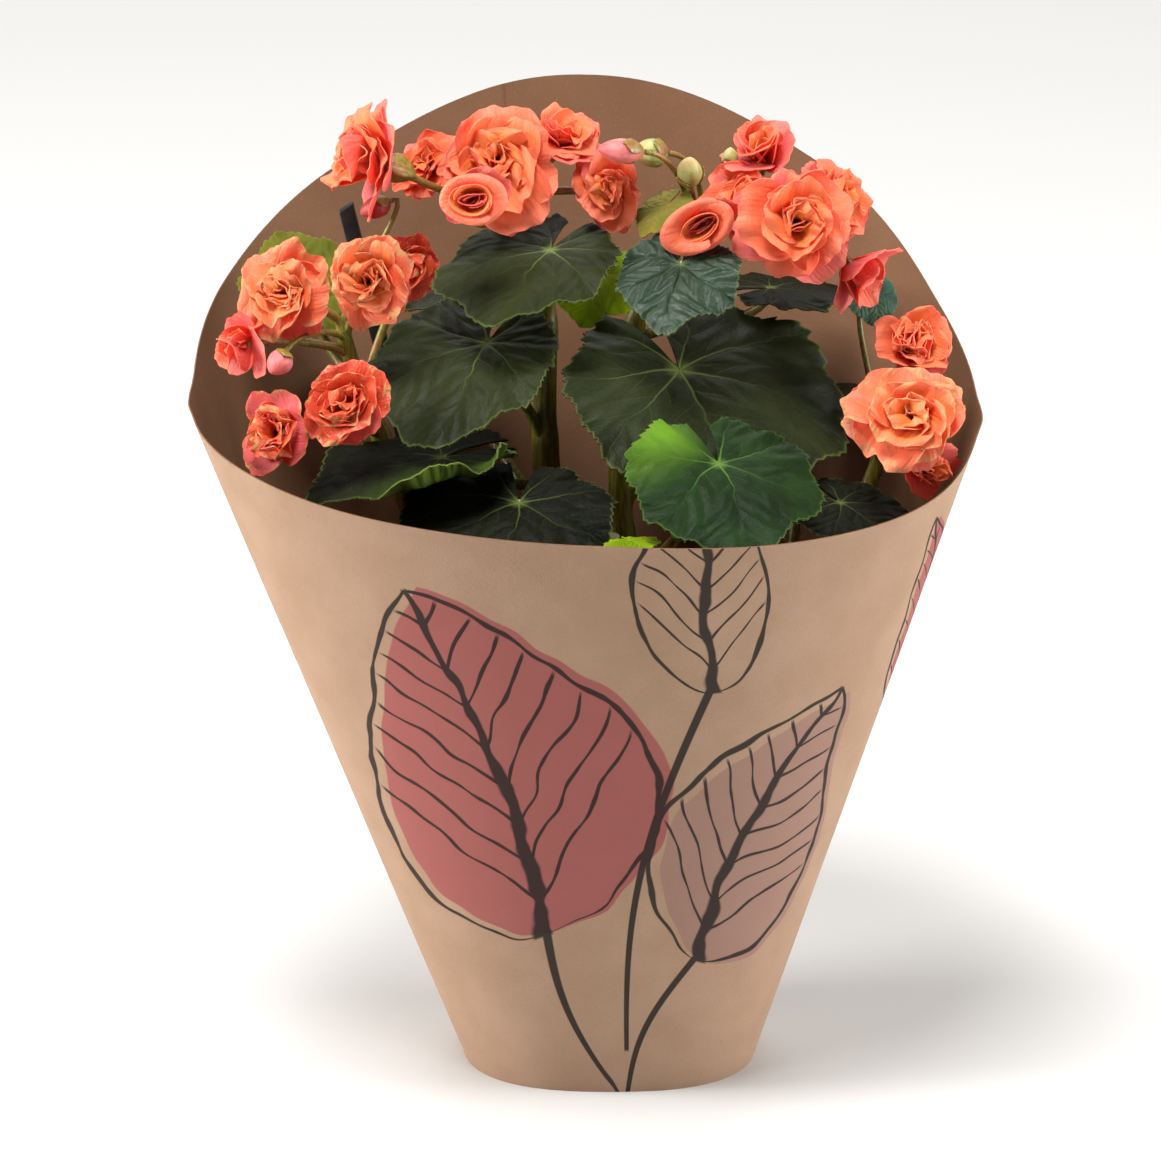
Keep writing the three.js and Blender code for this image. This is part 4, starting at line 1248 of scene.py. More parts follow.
def leaf_finish(
    name, deep, light, veins, lit, through, share, roughness=0.48, near=0.6, far=0.06,
    relief=0.35, specular=0.13, wash=None,
):
    """A leaf's skin: two greens in clouds, veins that are palest near the stalk, quilted relief.

    Colours are given from 0 to 255. lit is the brighter colour that a raised lobe is painted in,
    partly the paler underside that its curl shows and partly painted light, through is the light
    that comes through and share how much of it. near and far are how well veins show near the
    stalk and far from it, and wash is a third green in broader clouds.
    """
    deep, light, vein_colour, lit = (tint(*colour) for colour in (deep, light, veins, lit))
    material, tree, shader = new_finish(name, roughness, specular)
    lines = use_group(tree, leaf_veins)
    spots = use_group(tree, mottling, Cloud_Size=0.014, Grain_Size=0.0005)
    skin = blend_colours(tree, spots["Cloud"], deep, light)
    if wash:
        broad = use_group(tree, mottling, Cloud_Size=0.05, Grain_Size=0.003)
        skin = lay_over(tree, skin, broad["Cloud"], 0.6, tint(*wash))
    skin = lay_over(tree, skin, fade(tree, spots["Grain"], 0.6, 1.0), 0.15, light)
    outness, painted_lobe_light = uv_parts(tree, "margin")
    # a raised lobe turns to the lit colour: partly the paler underside that its curl shows, partly painted
    # light
    skin = blend_colours(tree, painted_lobe_light, skin, lit)
    outwards = fade(tree, lines["Reach"], 0.04, 0.6)
    fading = near - outwards * (near - far)
    centre = 1.0 - fade(tree, lines["Reach"], 0.015, 0.11)
    for mask, strength in (
        (lines["Side"] * fading, SIDE_VEINS),
        (lines["Main"] * fading, 1.0),
        (lines["Net"], VEIN_NET),
        (centre, near),
        (fade(tree, outness, 0.975, 1.0), PALE_RIM),
    ):
        skin = lay_over(tree, skin, mask, strength, vein_colour)
    vary_roughness(tree, shader, spots["Grain"], roughness - 0.05, roughness + 0.12)
    raised = lines["Pillow"]
    for label, depth in VEIN_GROOVES.items():
        raised = raised - lines[label] * depth
    cover(tree, shader, skin, raised + spots["Grain"] * 0.12, relief, BLADE_RELIEF)
    let_light_through(tree, shader, tint(*through), share)
    return material


LEAF_LIT, LEAF_GLOW, VEIN_GREEN = (112, 150, 44), (110, 160, 30), (112, 128, 62)
# the face and the back of each: two greens, the veins, the brighter colour of a raised lobe
# (partly its paler underside, partly painted light), the light that comes through and how much of it
LEAF_SKINS = {
    "dark leaf": [
        ((14, 21, 6), (31, 37, 14), VEIN_GREEN, LEAF_LIT, LEAF_GLOW, 0.04),
        ((84, 94, 50), (100, 108, 62), (140, 116, 76), LEAF_LIT, LEAF_GLOW, 0.05),
    ],
    # this finish is the dark leaf made darker, face and back, as painted shade for the leaves that lie in
    # the plant's shade
    "deep leaf": [
        ((6, 8, 3), (15, 16, 7), VEIN_GREEN, LEAF_LIT, LEAF_GLOW, 0.03),
        ((60, 70, 32), (76, 86, 42), (120, 100, 60), LEAF_LIT, LEAF_GLOW, 0.04),
    ],
    "glossy leaf": [
        ((24, 46, 30), (46, 66, 48), VEIN_GREEN, LEAF_LIT, LEAF_GLOW, 0.04),
        ((84, 98, 56), (98, 112, 66), VEIN_GREEN, LEAF_LIT, LEAF_GLOW, 0.04),
    ],
    "fresh leaf": [
        ((8, 28, 6), (24, 48, 14), (96, 132, 52), (112, 160, 38), LEAF_GLOW, 0.1),
        ((78, 104, 44), (96, 122, 54), (130, 140, 76), (130, 168, 54), LEAF_GLOW, 0.1),
    ],
    # this finish paints the back-left leaf bright olive as painted light, for the light that shines through
    # it from behind
    "olive leaf": [
        ((88, 92, 14), (112, 112, 24), (150, 150, 50), LEAF_LIT, (160, 170, 10), 0.3),
        ((92, 96, 20), (112, 116, 30), (146, 146, 60), LEAF_LIT, (160, 170, 10), 0.3),
    ],
    "young leaf": [
        ((116, 148, 2), (150, 176, 8), (176, 186, 60), (190, 180, 40), (190, 220, 10), 0.4),
        ((110, 136, 24), (134, 154, 36), (172, 180, 70), (190, 180, 40), (190, 220, 10), 0.4),
    ],
    "bract": [
        ((108, 112, 36), (146, 132, 58), (180, 110, 66), (190, 84, 60), (170, 130, 30), 0.2),
        ((150, 96, 56), (160, 122, 62), (176, 110, 74), (190, 84, 60), (170, 130, 30), 0.2),
    ],
    "teal leaf": [
        ((44, 74, 58), (66, 98, 78), (120, 146, 100), LEAF_LIT, LEAF_GLOW, 0.1),
        ((80, 108, 74), (96, 124, 86), (140, 150, 96), LEAF_LIT, LEAF_GLOW, 0.1),
    ],
}
UNUSUAL_FACES = {
    "dark leaf": dict(wash=(43, 50, 20)),
    "deep leaf": dict(roughness=0.5, near=0.4, specular=0.07),
    "glossy leaf": dict(roughness=0.36, near=0.4, relief=0.55, specular=0.35),
}
LEAF_FINISHES = {}
for name, (face, back) in LEAF_SKINS.items():
    LEAF_FINISHES[name] = (
        leaf_finish(f"{name} face", *face, **UNUSUAL_FACES.get(name, {})),
        leaf_finish(f"{name} back", *back),
    )
print("Leaf finishes:", ", ".join(LEAF_FINISHES))

# %% [markdown]
# ## The leaves
#
# A blade is a grid in polar coordinates round the end of its stalk. Its outline is lopsided,
# with shallow lobes and small saw teeth, and it doesn't close behind the stalk, which leaves the
# notch of a begonia's leaf. The surface follows the CAD model's rule, and adds the sunken veins,
# the quilted cushions between them and a slight wave at the edge.

# %% Geometry Nodes: hairs on points
hair_tree, start, end = node_group(
    "hairs on points", "GeometryNodeTree",
    [
        ("Geometry", GEOMETRY, None), ("Length", FLOAT, 0.0006), ("Thickness", FLOAT, 0.00005),
        ("Material", MATERIAL, None),
    ],
    [("Geometry", GEOMETRY)],
)
hair = add_node(hair_tree, "GeometryNodeMeshCone", {
    "Vertices": 4, "Radius Bottom": start["Thickness"], "Radius Top": 0.00001,
    "Depth": start["Length"],
})
planted = add_node(hair_tree, "GeometryNodeInstanceOnPoints", {
    "Points": start["Geometry"], "Instance": hair.outputs["Mesh"],
    "Rotation": stored(hair_tree, "pose", "FLOAT_VECTOR"), "Scale": stored(hair_tree, "size", "FLOAT"),
})
end_tree(hair_tree, end, planted.outputs[0], start["Material"])

hair_skin, tree, shader = new_finish("fine pale hair", 0.6)
spots = use_group(tree, mottling, Cloud_Size=0.01, Grain_Size=0.001)
hair_colour = blend_colours(tree, spots["Cloud"], tint(112, 122, 74), tint(150, 142, 104))
tree.links.new(hair_colour, shader.inputs["Base Color"])


HAIR_STRAY = 0.5  # how far a hair may lean off its way, and how far it may point up or down
HAIR_RISE = (-0.2, 0.5)
HAIR_SIZES = (0.5, 1.3)


def margin_hairs(edge_line, outwards, upwards, draw):
    """Short hairs that stand off a leaf's margin."""
    poses, sizes = [], []
    for out in outwards:
        stray = Vector([draw.uniform(-HAIR_STRAY, HAIR_STRAY) for _ in range(3)])
        way = Vector(out) + stray + Vector(upwards) * draw.uniform(*HAIR_RISE)
        poses.append(way.to_track_quat("Z", "Y").to_euler())
        sizes.append(draw.uniform(*HAIR_SIZES))
    roots = marked_points("hair roots", edge_line, pose=poses, size=sizes)
    return run_tree(roots, hair_tree, "hairs", Material=hair_skin)

# %% Leaf blades
OPENING = math.radians(170)  # how far a blade reaches round its stalk to either side
BLADE_COLUMNS, BLADE_ROWS = 252, 24
SMALL_COLUMNS, SMALL_ROWS = 126, 14
SMALL_LEAF = 25  # mm: a leaf under this size is a young one
BLADE_THICK, SMALL_THICK = 0.0006, 0.7  # metres, and what is left of it in a small leaf
PETIOLE, SMALL_PETIOLE = (2.3, 1.6), 0.6  # radii of the stalk in mm, and what is left of them
LOBES, LOBE_POINTS = 0.02, 0.018  # how far the lobes stand out, rounded and pointed
TIP, TIP_WIDTH = 0.1, 0.35  # how far the tip stands out, and over how many radians
COARSE_TEETH, FINE_TEETH = 9, 28  # on each side of the leaf
COARSE_TOOTH, FINE_TOOTH = 0.034, 0.03  # their heights
GROOVE, GROOVE_WIDTH = 1.2, 0.022  # of a main vein: its depth in heights of a cushion
BULGE, EDGE_WAVES, DROOP = 0.105, 0.04, 0.11  # of a blade, unless the plan says otherwise
VEIN_DEPTH = 0.0035  # the height of the cushions between the veins
VEIN_SWAY = 0.09  # how far the veins bend on their way, in radians
# waves of the margin: height, how fast it grows outwards, how many waves, shift with the seed
MARGIN_WAVES = [(0.02, 4, 11, 1), (0.02, 2, 3, 2), (0.012, 3, 19, 5)]


def margin_radius(phi, skew):
    """The outline of a leaf of size 1, without its teeth."""
    pointed = 1 - 4 * np.abs((phi / VEIN_STEP + 0.5) % 1.0 - 0.5)
    rounded = (0.8 + 0.2 * np.cos(phi)) * (1 + skew * np.sin(phi))
    lobed = rounded * (1 + LOBES * np.cos(MAIN_VEINS * phi) + LOBE_POINTS * pointed)
    return lobed + TIP * np.exp(-((phi / TIP_WIDTH) ** 2))


def saw_teeth(phi, seed):
    """Uneven teeth that point towards the tip, as shares of the leaf's size."""
    coarse = (np.abs(phi) * COARSE_TEETH / OPENING + 0.35 * np.sin(3 * phi + seed)) % 1.0
    fine = (np.abs(phi) * FINE_TEETH / OPENING + 0.3 * np.sin(5 * phi + seed)) % 1.0
    uneven = 1 + 0.6 * np.sin(7.3 * phi + 2 * seed)
    return COARSE_TOOTH * uneven * (1 - coarse) + FINE_TOOTH * (1 - fine) - FINE_TOOTH


def vein_relief(phi, reach):
    """Sunken veins and raised cushions, from -1 to about 1."""
    folded = np.abs((phi + VEIN_STEP / 2) % VEIN_STEP - VEIN_STEP / 2)
    beside = reach * np.sin(folded)
    parity = np.floor(phi / (VEIN_STEP / 2)) % 2
    branch = reach * np.cos(folded) - SIDE_SLANT * beside + parity * SIDE_STEP / 2
    to_side = np.abs((branch + SIDE_STEP / 2) % SIDE_STEP - SIDE_STEP / 2)
    cushion = np.clip(np.minimum(beside * 1.4, to_side) / (SIDE_STEP / 2), 0, 1) ** 0.8
    return cushion - GROOVE * np.exp(-((beside / GROOVE_WIDTH) ** 2))


def leaf_axes(leaf):
    """The ways of the leaf's tip, its left side and its upper face."""
    tip = Vector(heading(leaf["head"], leaf["tilt"]))
    h = math.radians(leaf["head"])
    level = Vector((-math.sin(h), math.cos(h), 0))
    side = Matrix.Rotation(math.radians(leaf.get("roll", 0)), 3, tip) @ level
    return np.array([tip, side, tip.cross(side)])


def leaf_blade(name, leaf, seed):
    small = leaf["size"] < SMALL_LEAF
    columns, rows = (SMALL_COLUMNS, SMALL_ROWS) if small else (BLADE_COLUMNS, BLADE_ROWS)
    phi, share = sheet_grid(columns, rows, OPENING)
    reach = margin_radius(phi, leaf.get("skew", 0)) * share
    bend = phi + VEIN_SWAY * np.sin(5.0 * reach + 2.2 * phi + seed)
    stretch = reach + saw_teeth(phi, seed) * share**9
    height = leaf.get("bulge", BULGE) * reach * (1 - reach) - DROOP * reach**2
    height = height + leaf.get("waves", EDGE_WAVES) * reach**3 * np.sin(5 * phi)
    veins = vein_relief(bend, reach) * np.clip(reach * 4, 0, 1)
    height = height + VEIN_DEPTH * leaf.get("relief", 1) * veins
    for rise, growth, count, shift in MARGIN_WAVES:
        height = height + rise * share**growth * np.sin(count * phi + shift * seed)
    lit = np.zeros_like(phi)
    # a lifted lobe is also painted brighter through the margin map's second number: partly its paler
    # underside, partly painted light
    for middle, width, rise, power, glow in leaf.get("lifts", ()):
        near = np.exp(-(((phi - math.radians(middle)) / math.radians(width)) ** 2))
        height = height + rise * share**power * near
        lit = np.maximum(lit, glow * near * np.clip(share * 1.5 - 0.2, 0, 1))
    local = [stretch * np.cos(phi) * leaf.get("long", 1), stretch * np.sin(phi), height]
    local = np.stack(local, -1).reshape(-1, 3)
    places = metres(leaf["at"]) + local @ leaf_axes(leaf) * leaf["size"] * MM
    maps = {
        "blade": np.stack([bend / (2 * np.pi), reach], -1).reshape(-1, 2),
        "margin": np.stack([share, lit], -1).reshape(-1, 2),
    }
    finish = LEAF_FINISHES[leaf.get("finish", "dark leaf")]
    piece = mesh_object(name, places, grid_faces(rows, columns), maps, finish)
    piece = thicken(piece, BLADE_THICK * (SMALL_THICK if small else 1), weld=WELD_GAP)
    rings = places.reshape(rows + 1, columns + 1, 3)
    outwards = rings[-1] - rings[-2]
    outwards /= np.linalg.norm(outwards, axis=1, keepdims=True)
    hairs = margin_hairs(rings[-1], outwards, leaf_axes(leaf)[2], random.Random(seed))
    return [piece, hairs]


def leaf_stalk(line, leaf):
    """The line and radii of a leaf's stalk, from the stem to the blade."""
    first, last = along_line(line, leaf["start"]), metres(leaf["at"])
    reach = np.linalg.norm(last - first) * STALK_REACH
    axes = leaf_axes(leaf)
    under = last + (-0.2 * reach) * axes[0] - reach * axes[2]
    rise = metres(leaf["via"]) if "via" in leaf else first + np.array([0, 0, reach])
    points = bezier_line(first, rise, under, last)
    slim = SMALL_PETIOLE if leaf["size"] < SMALL_LEAF else 1.0
    shares = np.linspace(0, 1, len(points))
    radii = np.interp(shares, [0, 1], [r * slim * MM for r in PETIOLE])
    return points, swollen(radii, shares, [0.03, 0.98], 0.2, 0.05)


seed = 0
for stem_name, stem in STEMS.items():
    for name, leaf in stem["leaves"].items():
        seed += 1
        parts = leaf_blade(f"leaf_blade_{name}", leaf, seed)
        parts.append(rods("petiole", [leaf_stalk(stem_lines[stem_name], leaf)], petiole_skin, 12))
        piece = join_pieces(f"begonia_leaf_{name}", parts)
        slot_name = "young_leaf" if leaf["size"] < SMALL_LEAF else "leaf"
        settle(piece, f"leaf_{name}")
print("Leaf pieces:", seed)

# %% [markdown]
# ## Petals
#
# A petal is one small curved sheet. It leans out further and further along its length, is
# wrapped round an arc across its width, and has a rounded end with a ruffled edge. The same
# formula with other numbers makes the broad outer petals, the upright inner ones and the tight
# ones of a rose-shaped heart. Each kind is made in a few versions at flower radius 1, which is
# enough for every flower.
#
# The finish has a face and a back. The face is coral orange, deeper at its foot, with fine
# streaks along it, a pinker margin and pale specks near the margin that are painted glints. The
# back is pink. On flowers that are past their best the margin has dried to beige, and three
# flowers are a deeper red all over.

# %% Petal finishes
petal_marks, start, end = node_group(
    "petal marks", "ShaderNodeTree",
    [("Streak Count", FLOAT, 22.0)],
    [(label, FLOAT) for label in ("Streak", "Margin", "Foot", "Layer", "Blotch", "Speck")],
)
side_way, length_way = uv_parts(petal_marks, "petal")
version_mark, layer_mark = uv_parts(petal_marks, "nature")
solid_place = add_node(petal_marks, "ShaderNodeTexCoord").outputs["Object"]
stretched = add_node(petal_marks, "ShaderNodeCombineXYZ", {
    "X": side_way * start["Streak Count"], "Y": length_way * 1.8, "Z": version_mark * 20.0,
})
streaks = noise(petal_marks, stretched.outputs[0], 1.0, 3)["Fac"]
blotches = noise(petal_marks, solid_place, 240.0, 3)["Fac"]
# these fine specks become painted glints, the sparkle of the petal's surface
specks = noise(petal_marks, solid_place, 1700.0, 1)["Fac"]
from_middle = (side_way * 2.0 - 1.0).then("ABSOLUTE")
to_side = from_middle * fade(petal_marks, length_way, 0.1, 0.6)
set_outputs(
    petal_marks, end,
    Streak=fade(petal_marks, streaks, 0.35, 0.65),
    Margin=length_way.then("MAXIMUM", to_side),
    Foot=1.0 - fade(petal_marks, length_way, 0.05, 0.65),
    Layer=layer_mark,
    Blotch=fade(petal_marks, blotches, 0.4, 0.7),
    Speck=fade(petal_marks, specks, 0.58, 0.7),
)

CRIMSON, PINK_SKIN, PAINTED_GLINT = tint(196, 26, 52), tint(238, 118, 122), tint(255, 200, 150)
DRY, DRY_SPOT = tint(226, 182, 120), tint(150, 96, 58)
GLOW, GLOW_SHARE = tint(255, 112, 48), 0.38  # the light that comes through a petal
PETAL_RELIEF = 0.0005


def petal_finish(name, colours, dried=0.0):
    """A petal's skin: outer and inner colour by layer, a deeper foot, a paler margin with painted glints."""
    outer, inner, foot, margin = (tint(*colour) for colour in colours)
    material, tree, shader = new_finish(name, 0.5, 0.35)
    marks = use_group(tree, petal_marks)
    skin = blend_colours(tree, marks["Layer"], outer, inner)
    skin = blend_colours(tree, fade(tree, marks["Layer"], -0.2, -0.8), skin, PINK_SKIN)
    near_margin = fade(tree, marks["Margin"], 0.5, 1.0)
    for mask, share, colour in (
        (marks["Streak"], 0.18, margin),
        (marks["Foot"], 0.75, foot),
        (fade(tree, marks["Layer"], 1.2, 1.8), 0.9, CRIMSON),
        (fade(tree, marks["Margin"], 0.66, 1.0), 0.62, margin),
        # pale specks near the margin: painted glints
        (marks["Speck"] * near_margin, 0.5, PAINTED_GLINT),
    ):
        skin = lay_over(tree, skin, mask, share, colour)
    if dried:
        ragged = marks["Margin"] + marks["Blotch"] * 0.22
        dry = fade(tree, ragged, 1.12 - dried, 1.2 - dried) * 0.85
        skin = blend_colours(tree, dry, skin, DRY)
        spotted = dry * fade(tree, marks["Streak"], 0.6, 1.0)
        skin = lay_over(tree, skin, spotted, 0.6, DRY_SPOT)
    vary_roughness(tree, shader, marks["Blotch"], 0.42, 0.6)
    cover(tree, shader, skin, marks["Streak"] + marks["Blotch"] * 0.6, 0.4, PETAL_RELIEF)
    shader.inputs["Sheen Weight"].default_value = 0.1
    shader.inputs["Sheen Roughness"].default_value = 0.4
    let_light_through(tree, shader, GLOW, GLOW_SHARE)
    return material


# the outer petals, the inner ones, their foot and their margin
CORAL = ((255, 130, 80), (255, 162, 66), (248, 92, 34), (250, 146, 118))
PINK = ((240, 110, 98), (248, 124, 92), (228, 66, 48), (250, 158, 142))
EMBER = ((218, 74, 40), (234, 104, 44), (194, 42, 20), (226, 96, 72))
EMBER_BACK = ((200, 66, 62), (210, 74, 56), (176, 38, 32), (218, 106, 92))
PETAL_FINISHES = {
    "ember": (petal_finish("deep petal face", EMBER, 0.08), petal_finish("deep petal back", EMBER_BACK)),
    "fresh": (petal_finish("petal face", CORAL), petal_finish("petal back", PINK)),
    "drying": (
        petal_finish("drying petal face", CORAL, 0.16), petal_finish("drying petal back", PINK, 0.08),
    ),
}
print("Petal finishes:", ", ".join(PETAL_FINISHES))

# %% Kinds of petal
# long and wide are the length and half width as shares of the flower's radius, lean is where the
# petal starts and ends, in degrees from the flower's axis, wrap is the arc across it in radians,
# ruffle, crease and curl are how far its edge waves, it is crumpled and its end rolls back, fold
# is how sharply it is folded down its middle, and layer goes from 0 for the outside to 1 for the
# heart, with -1 for a pink petal and 2 for a crimson one
TRAITS = ("long", "wide", "lean", "wrap", "ruffle", "crease", "curl", "fold", "layer")
PETAL_KINDS = {
    "outer": (1.1, 0.72, (56, 96), 0.45, 0.07, 0.08, 0.06, 0, 0.0),
    "middle": (0.86, 0.6, (34, 70), 0.7, 0.07, 0.08, 0.05, 0, 0.5),
    "inner": (0.64, 0.44, (10, 44), 1.0, 0.06, 0.07, 0.04, 0, 0.9),
    "heart": (0.46, 0.28, (0, 14), 1.3, 0.02, 0.02, 0.02, 0.5, 1.0),
    "crumpled": (0.68, 0.46, (20, 70), 0.8, 0.12, 0.15, 0.08, 0.22, 0.7),
    "guard": (1.08, 0.66, (86, 98), 0.35, 0.03, 0.02, 0.02, 0, -1.0),
    "tulip": (1.04, 0.66, (16, 52), 1.1, 0.03, 0.03, 0.06, 0, -0.4),
}
PETAL_KINDS = {kind: dict(zip(TRAITS, values)) for kind, values in PETAL_KINDS.items()}
# petals that wrap round the axis: radius and height along the petal, how many degrees it goes
# round to either side and how flat it is pressed
WRAP_KINDS = {
    "ring": dict(
        profile=[
            (0.1, 0.04), (0.28, 0.16), (0.42, 0.36), (0.54, 0.54), (0.72, 0.67), (0.92, 0.7),
            (1.06, 0.6),
        ],
        turn=116, squash=0.92, layer=-0.35,
    ),
    "wall": dict(
        profile=[(0.08, 0.1), (0.26, 0.2), (0.38, 0.38), (0.46, 0.52), (0.51, 0.6)],
        turn=124, squash=0.84, layer=1.3,
    ),
    "folded": dict(
        profile=[(0.06, 0.08), (0.2, 0.22), (0.3, 0.36), (0.36, 0.46)], turn=134, squash=0.46, layer=2,
    ),
}
# how much the petal's end falls away to its sides, how square that is, and the notch in its end
TIPS = [(0.22, 2.6, 0.0), (0.36, 1.2, 0.0), (0.2, 3.0, 0.08), (0.3, 1.7, 0.02)]
PETAL_ROWS, PETAL_COLUMNS = 14, 18
PETAL_THICK = 0.02  # of the flower's radius
PHASE_STEP = 2.1  # between two versions of a kind, which shifts all of a petal's waves
NOTCH_WIDTH = 0.22


def crumple(across, along, phase):
    """Uneven waves over a petal, about 1 high."""
    slow = 0.5 * np.sin(2.3 * across + 3.1 * along + phase)
    slow = slow + 0.35 * np.sin(4.9 * across - 2.2 * along + 2.3 * phase)
    fast = 0.22 * np.sin(8.6 * across + 4.1 * along + 3.1 * phase)
    fast = fast * np.sin(7.3 * along - 2.7 * across + phase)
    return slow + fast + 0.3 * np.sin(3.7 * across * along + 5.3 * along + 1.7 * phase)


def petal_places(kind, version, across, along):
    """A petal at flower radius 1, its foot at the origin, growing out along +X and up."""
    start_lean, end_lean = (math.radians(v) for v in kind["lean"])
    bend = end_lean - start_lean
    phase = PHASE_STEP * version + 7 * kind["layer"]
    fall, square, notch = TIPS[version]
    ragged = 0.025 * np.sin(6 * across + phase) + 0.018 * np.sin(14 * across + 3 * phase)
    cut = fall * np.abs(across) ** square + notch * np.exp(-((across / NOTCH_WIDTH) ** 2))
    v = along * (1 - cut + ragged * along**3)
    lean = start_lean + bend * v
    out = kind["long"] * (math.cos(start_lean) - np.cos(lean)) / bend
    up = kind["long"] * (np.sin(lean) - math.sin(start_lean)) / bend
    half = kind["wide"] * np.sin(np.pi * (0.11 + 0.56 * along)) ** 0.8
    arc = kind["wrap"] * across
    sideways = half * np.sin(arc) / kind["wrap"]
    rise = half * (1 - np.cos(arc)) / kind["wrap"] + kind["fold"] * half * np.abs(across)
    rise = rise + kind["ruffle"] * along**2 * np.sin(4.2 * across + phase + 2 * along)
    rise = rise + 0.5 * kind["ruffle"] * along**3 * np.sin(9.5 * across + 2 * phase)
    rise = rise + kind["crease"] * along * crumple(across, along, phase) - kind["curl"] * along**4
    return np.stack([out - rise * np.cos(lean), sideways, up + rise * np.sin(lean)], -1)


def wrapped_places(kind, version, across, along):
    """A petal that goes round the flower's axis like a collar, at flower radius 1."""
    phase = PHASE_STEP * version + kind["layer"]
    v = along * (1 - 0.22 * np.abs(across) ** 5 + 0.02 * np.sin(7 * across + phase))
    steps = np.linspace(0, 1, len(kind["profile"]))
    radius, height = (np.interp(v, steps, values) for values in np.array(kind["profile"]).T)
    radius = radius * (1 + 0.05 * across + 0.05 * along * np.sin(2.6 * across + phase))
    height = height + 0.04 * along**2 * np.sin(3.4 * across + 2 * phase)
    angle = np.radians(kind["turn"]) * across
    return np.stack([radius * np.cos(angle), radius * np.sin(angle) * kind["squash"], height], -1)


petal_store = bpy.data.collections.new("petal kinds")
kind_index = {}
for kind_name, kind in {**PETAL_KINDS, **WRAP_KINDS}.items():
    kind_index[kind_name] = len(petal_store.objects)
    wraps = kind_name in WRAP_KINDS
    shape, columns = (wrapped_places, 3 * PETAL_COLUMNS) if wraps else (petal_places, PETAL_COLUMNS)
    across, along = sheet_grid(columns, PETAL_ROWS)
    for version in range(len(TIPS)):
        places = shape(kind, version, across, along)
        maps = {
            "petal": np.stack([(across + 1) / 2, along], -1).reshape(-1, 2),
            "nature": np.broadcast_to([0.37 * version + 0.1, kind["layer"]], (across.size, 2)),
        }
        piece = mesh_object(
            f"petal_{len(petal_store.objects):02d}_{kind_name}", places.reshape(-1, 3),
            grid_faces(PETAL_ROWS, columns), maps, PETAL_FINISHES["fresh"],
        )
        piece = thicken(piece, PETAL_THICK)
        bpy.context.scene.collection.objects.unlink(piece)
        petal_store.objects.link(piece)

# %% [markdown]
# ## Double flowers
#
# A flower is a few whorls of petals one inside the other. Each petal is a point that carries
# the number of its kind, its turn, its lean and its size, and a Geometry Nodes tree puts a petal
# on every point. The points are made by rule, with small seeded differences, so that no flower
# looks stamped. The tree ends by giving faces and backs the materials of that flower.

# %% Geometry Nodes: petals on points
flower_tree, start, end = node_group(
    "petals on points", "GeometryNodeTree",
    [
        ("Geometry", GEOMETRY, None), ("Petals", "NodeSocketCollection", None),
        ("Flower Radius", FLOAT, 0.02), ("Face", MATERIAL, None), ("Back", MATERIAL, None),
    ],
    [("Geometry", GEOMETRY)],
)
kinds = add_node(flower_tree, "GeometryNodeCollectionInfo", {
    "Collection": start["Petals"], "Separate Children": True, "Reset Children": True,
})
petal_size = stored(flower_tree, "size", "FLOAT")
petal_size = maths(flower_tree, "MULTIPLY", petal_size, start["Flower Radius"])
grown = add_node(flower_tree, "GeometryNodeInstanceOnPoints", {
    "Points": start["Geometry"], "Instance": kinds.outputs[0], "Pick Instance": True,
    "Instance Index": stored(flower_tree, "kind", "INT"),
    "Rotation": stored(flower_tree, "pose", "FLOAT_VECTOR"), "Scale": petal_size,
})
real = add_node(flower_tree, "GeometryNodeRealizeInstances", {"Geometry": grown.outputs[0]})
painted = real.outputs[0]
for label, generic in zip(("Face", "Back"), PETAL_FINISHES["fresh"]):
    chosen = add_node(flower_tree, "GeometryNodeMaterialSelection", {"Material": generic}).outputs[0]
    painted = add_node(flower_tree, "GeometryNodeSetMaterial", {
        "Geometry": painted, "Selection": chosen, "Material": start[label],
    }).outputs[0]
set_outputs(flower_tree, end, Geometry=painted)

# %% Build the flowers
# whorls from the outside in: kind of petal, how many, how far up the core, its turn and its size
FORMS = {
    "open": [
        ("guard", 3, 0.03, 0.3, 1.02), ("outer", 5, 0.08, 0.0, 1), ("middle", 4, 0.16, 0.5, 1),
        ("inner", 4, 0.2, 0.2, 1.05), ("heart", 3, 0.24, 0.6, 1),
    ],
    "ruffled": [
        ("guard", 2, 0.03, 0.6, 1), ("outer", 5, 0.08, 0.0, 1), ("middle", 3, 0.14, 0.4, 1.05),
        ("crumpled", 4, 0.18, 0.2, 1.1), ("crumpled", 4, 0.24, 0.6, 0.8), ("inner", 3, 0.22, 0.1, 0.95),
        ("heart", 2, 0.26, 0.6, 1),
    ],
    "cup": [
        ("guard", 2, -0.02, 0.3, 0.95), ("ring", 2, 0.0, 0.0, 0.94), ("wall", 2, 0.04, 0.3, 1),
        ("folded", 1, 0.12, 0.1, 1.15), ("folded", 1, 0.16, 0.58, 0.92), ("folded", 1, 0.2, 0.14, 0.7),
        ("folded", 1, 0.26, 0.62, 0.46),
    ],
    "side": [
        ("guard", 3, 0.0, 0.25, 1.1), ("outer", 2, 0.05, 0.0, 0.95), ("middle", 4, 0.12, 0.5, 1.15),
        ("inner", 4, 0.2, 0.2, 1.3), ("inner", 3, 0.26, 0.6, 1.2), ("heart", 2, 0.3, 0.6, 1.4),
    ],
    "pink": [
        ("guard", 3, 0.02, 0.0, 1), ("tulip", 3, 0.08, 0.5, 1), ("inner", 3, 0.18, 0.2, 1.1),
        ("heart", 2, 0.24, 0.6, 1),
    ],
    "aged": [
        ("guard", 3, 0.04, 0.0, 0.95), ("crumpled", 4, 0.1, 0.5, 1.25), ("crumpled", 5, 0.18, 0.2, 1),
        ("inner", 3, 0.24, 0.6, 1),
    ],
}
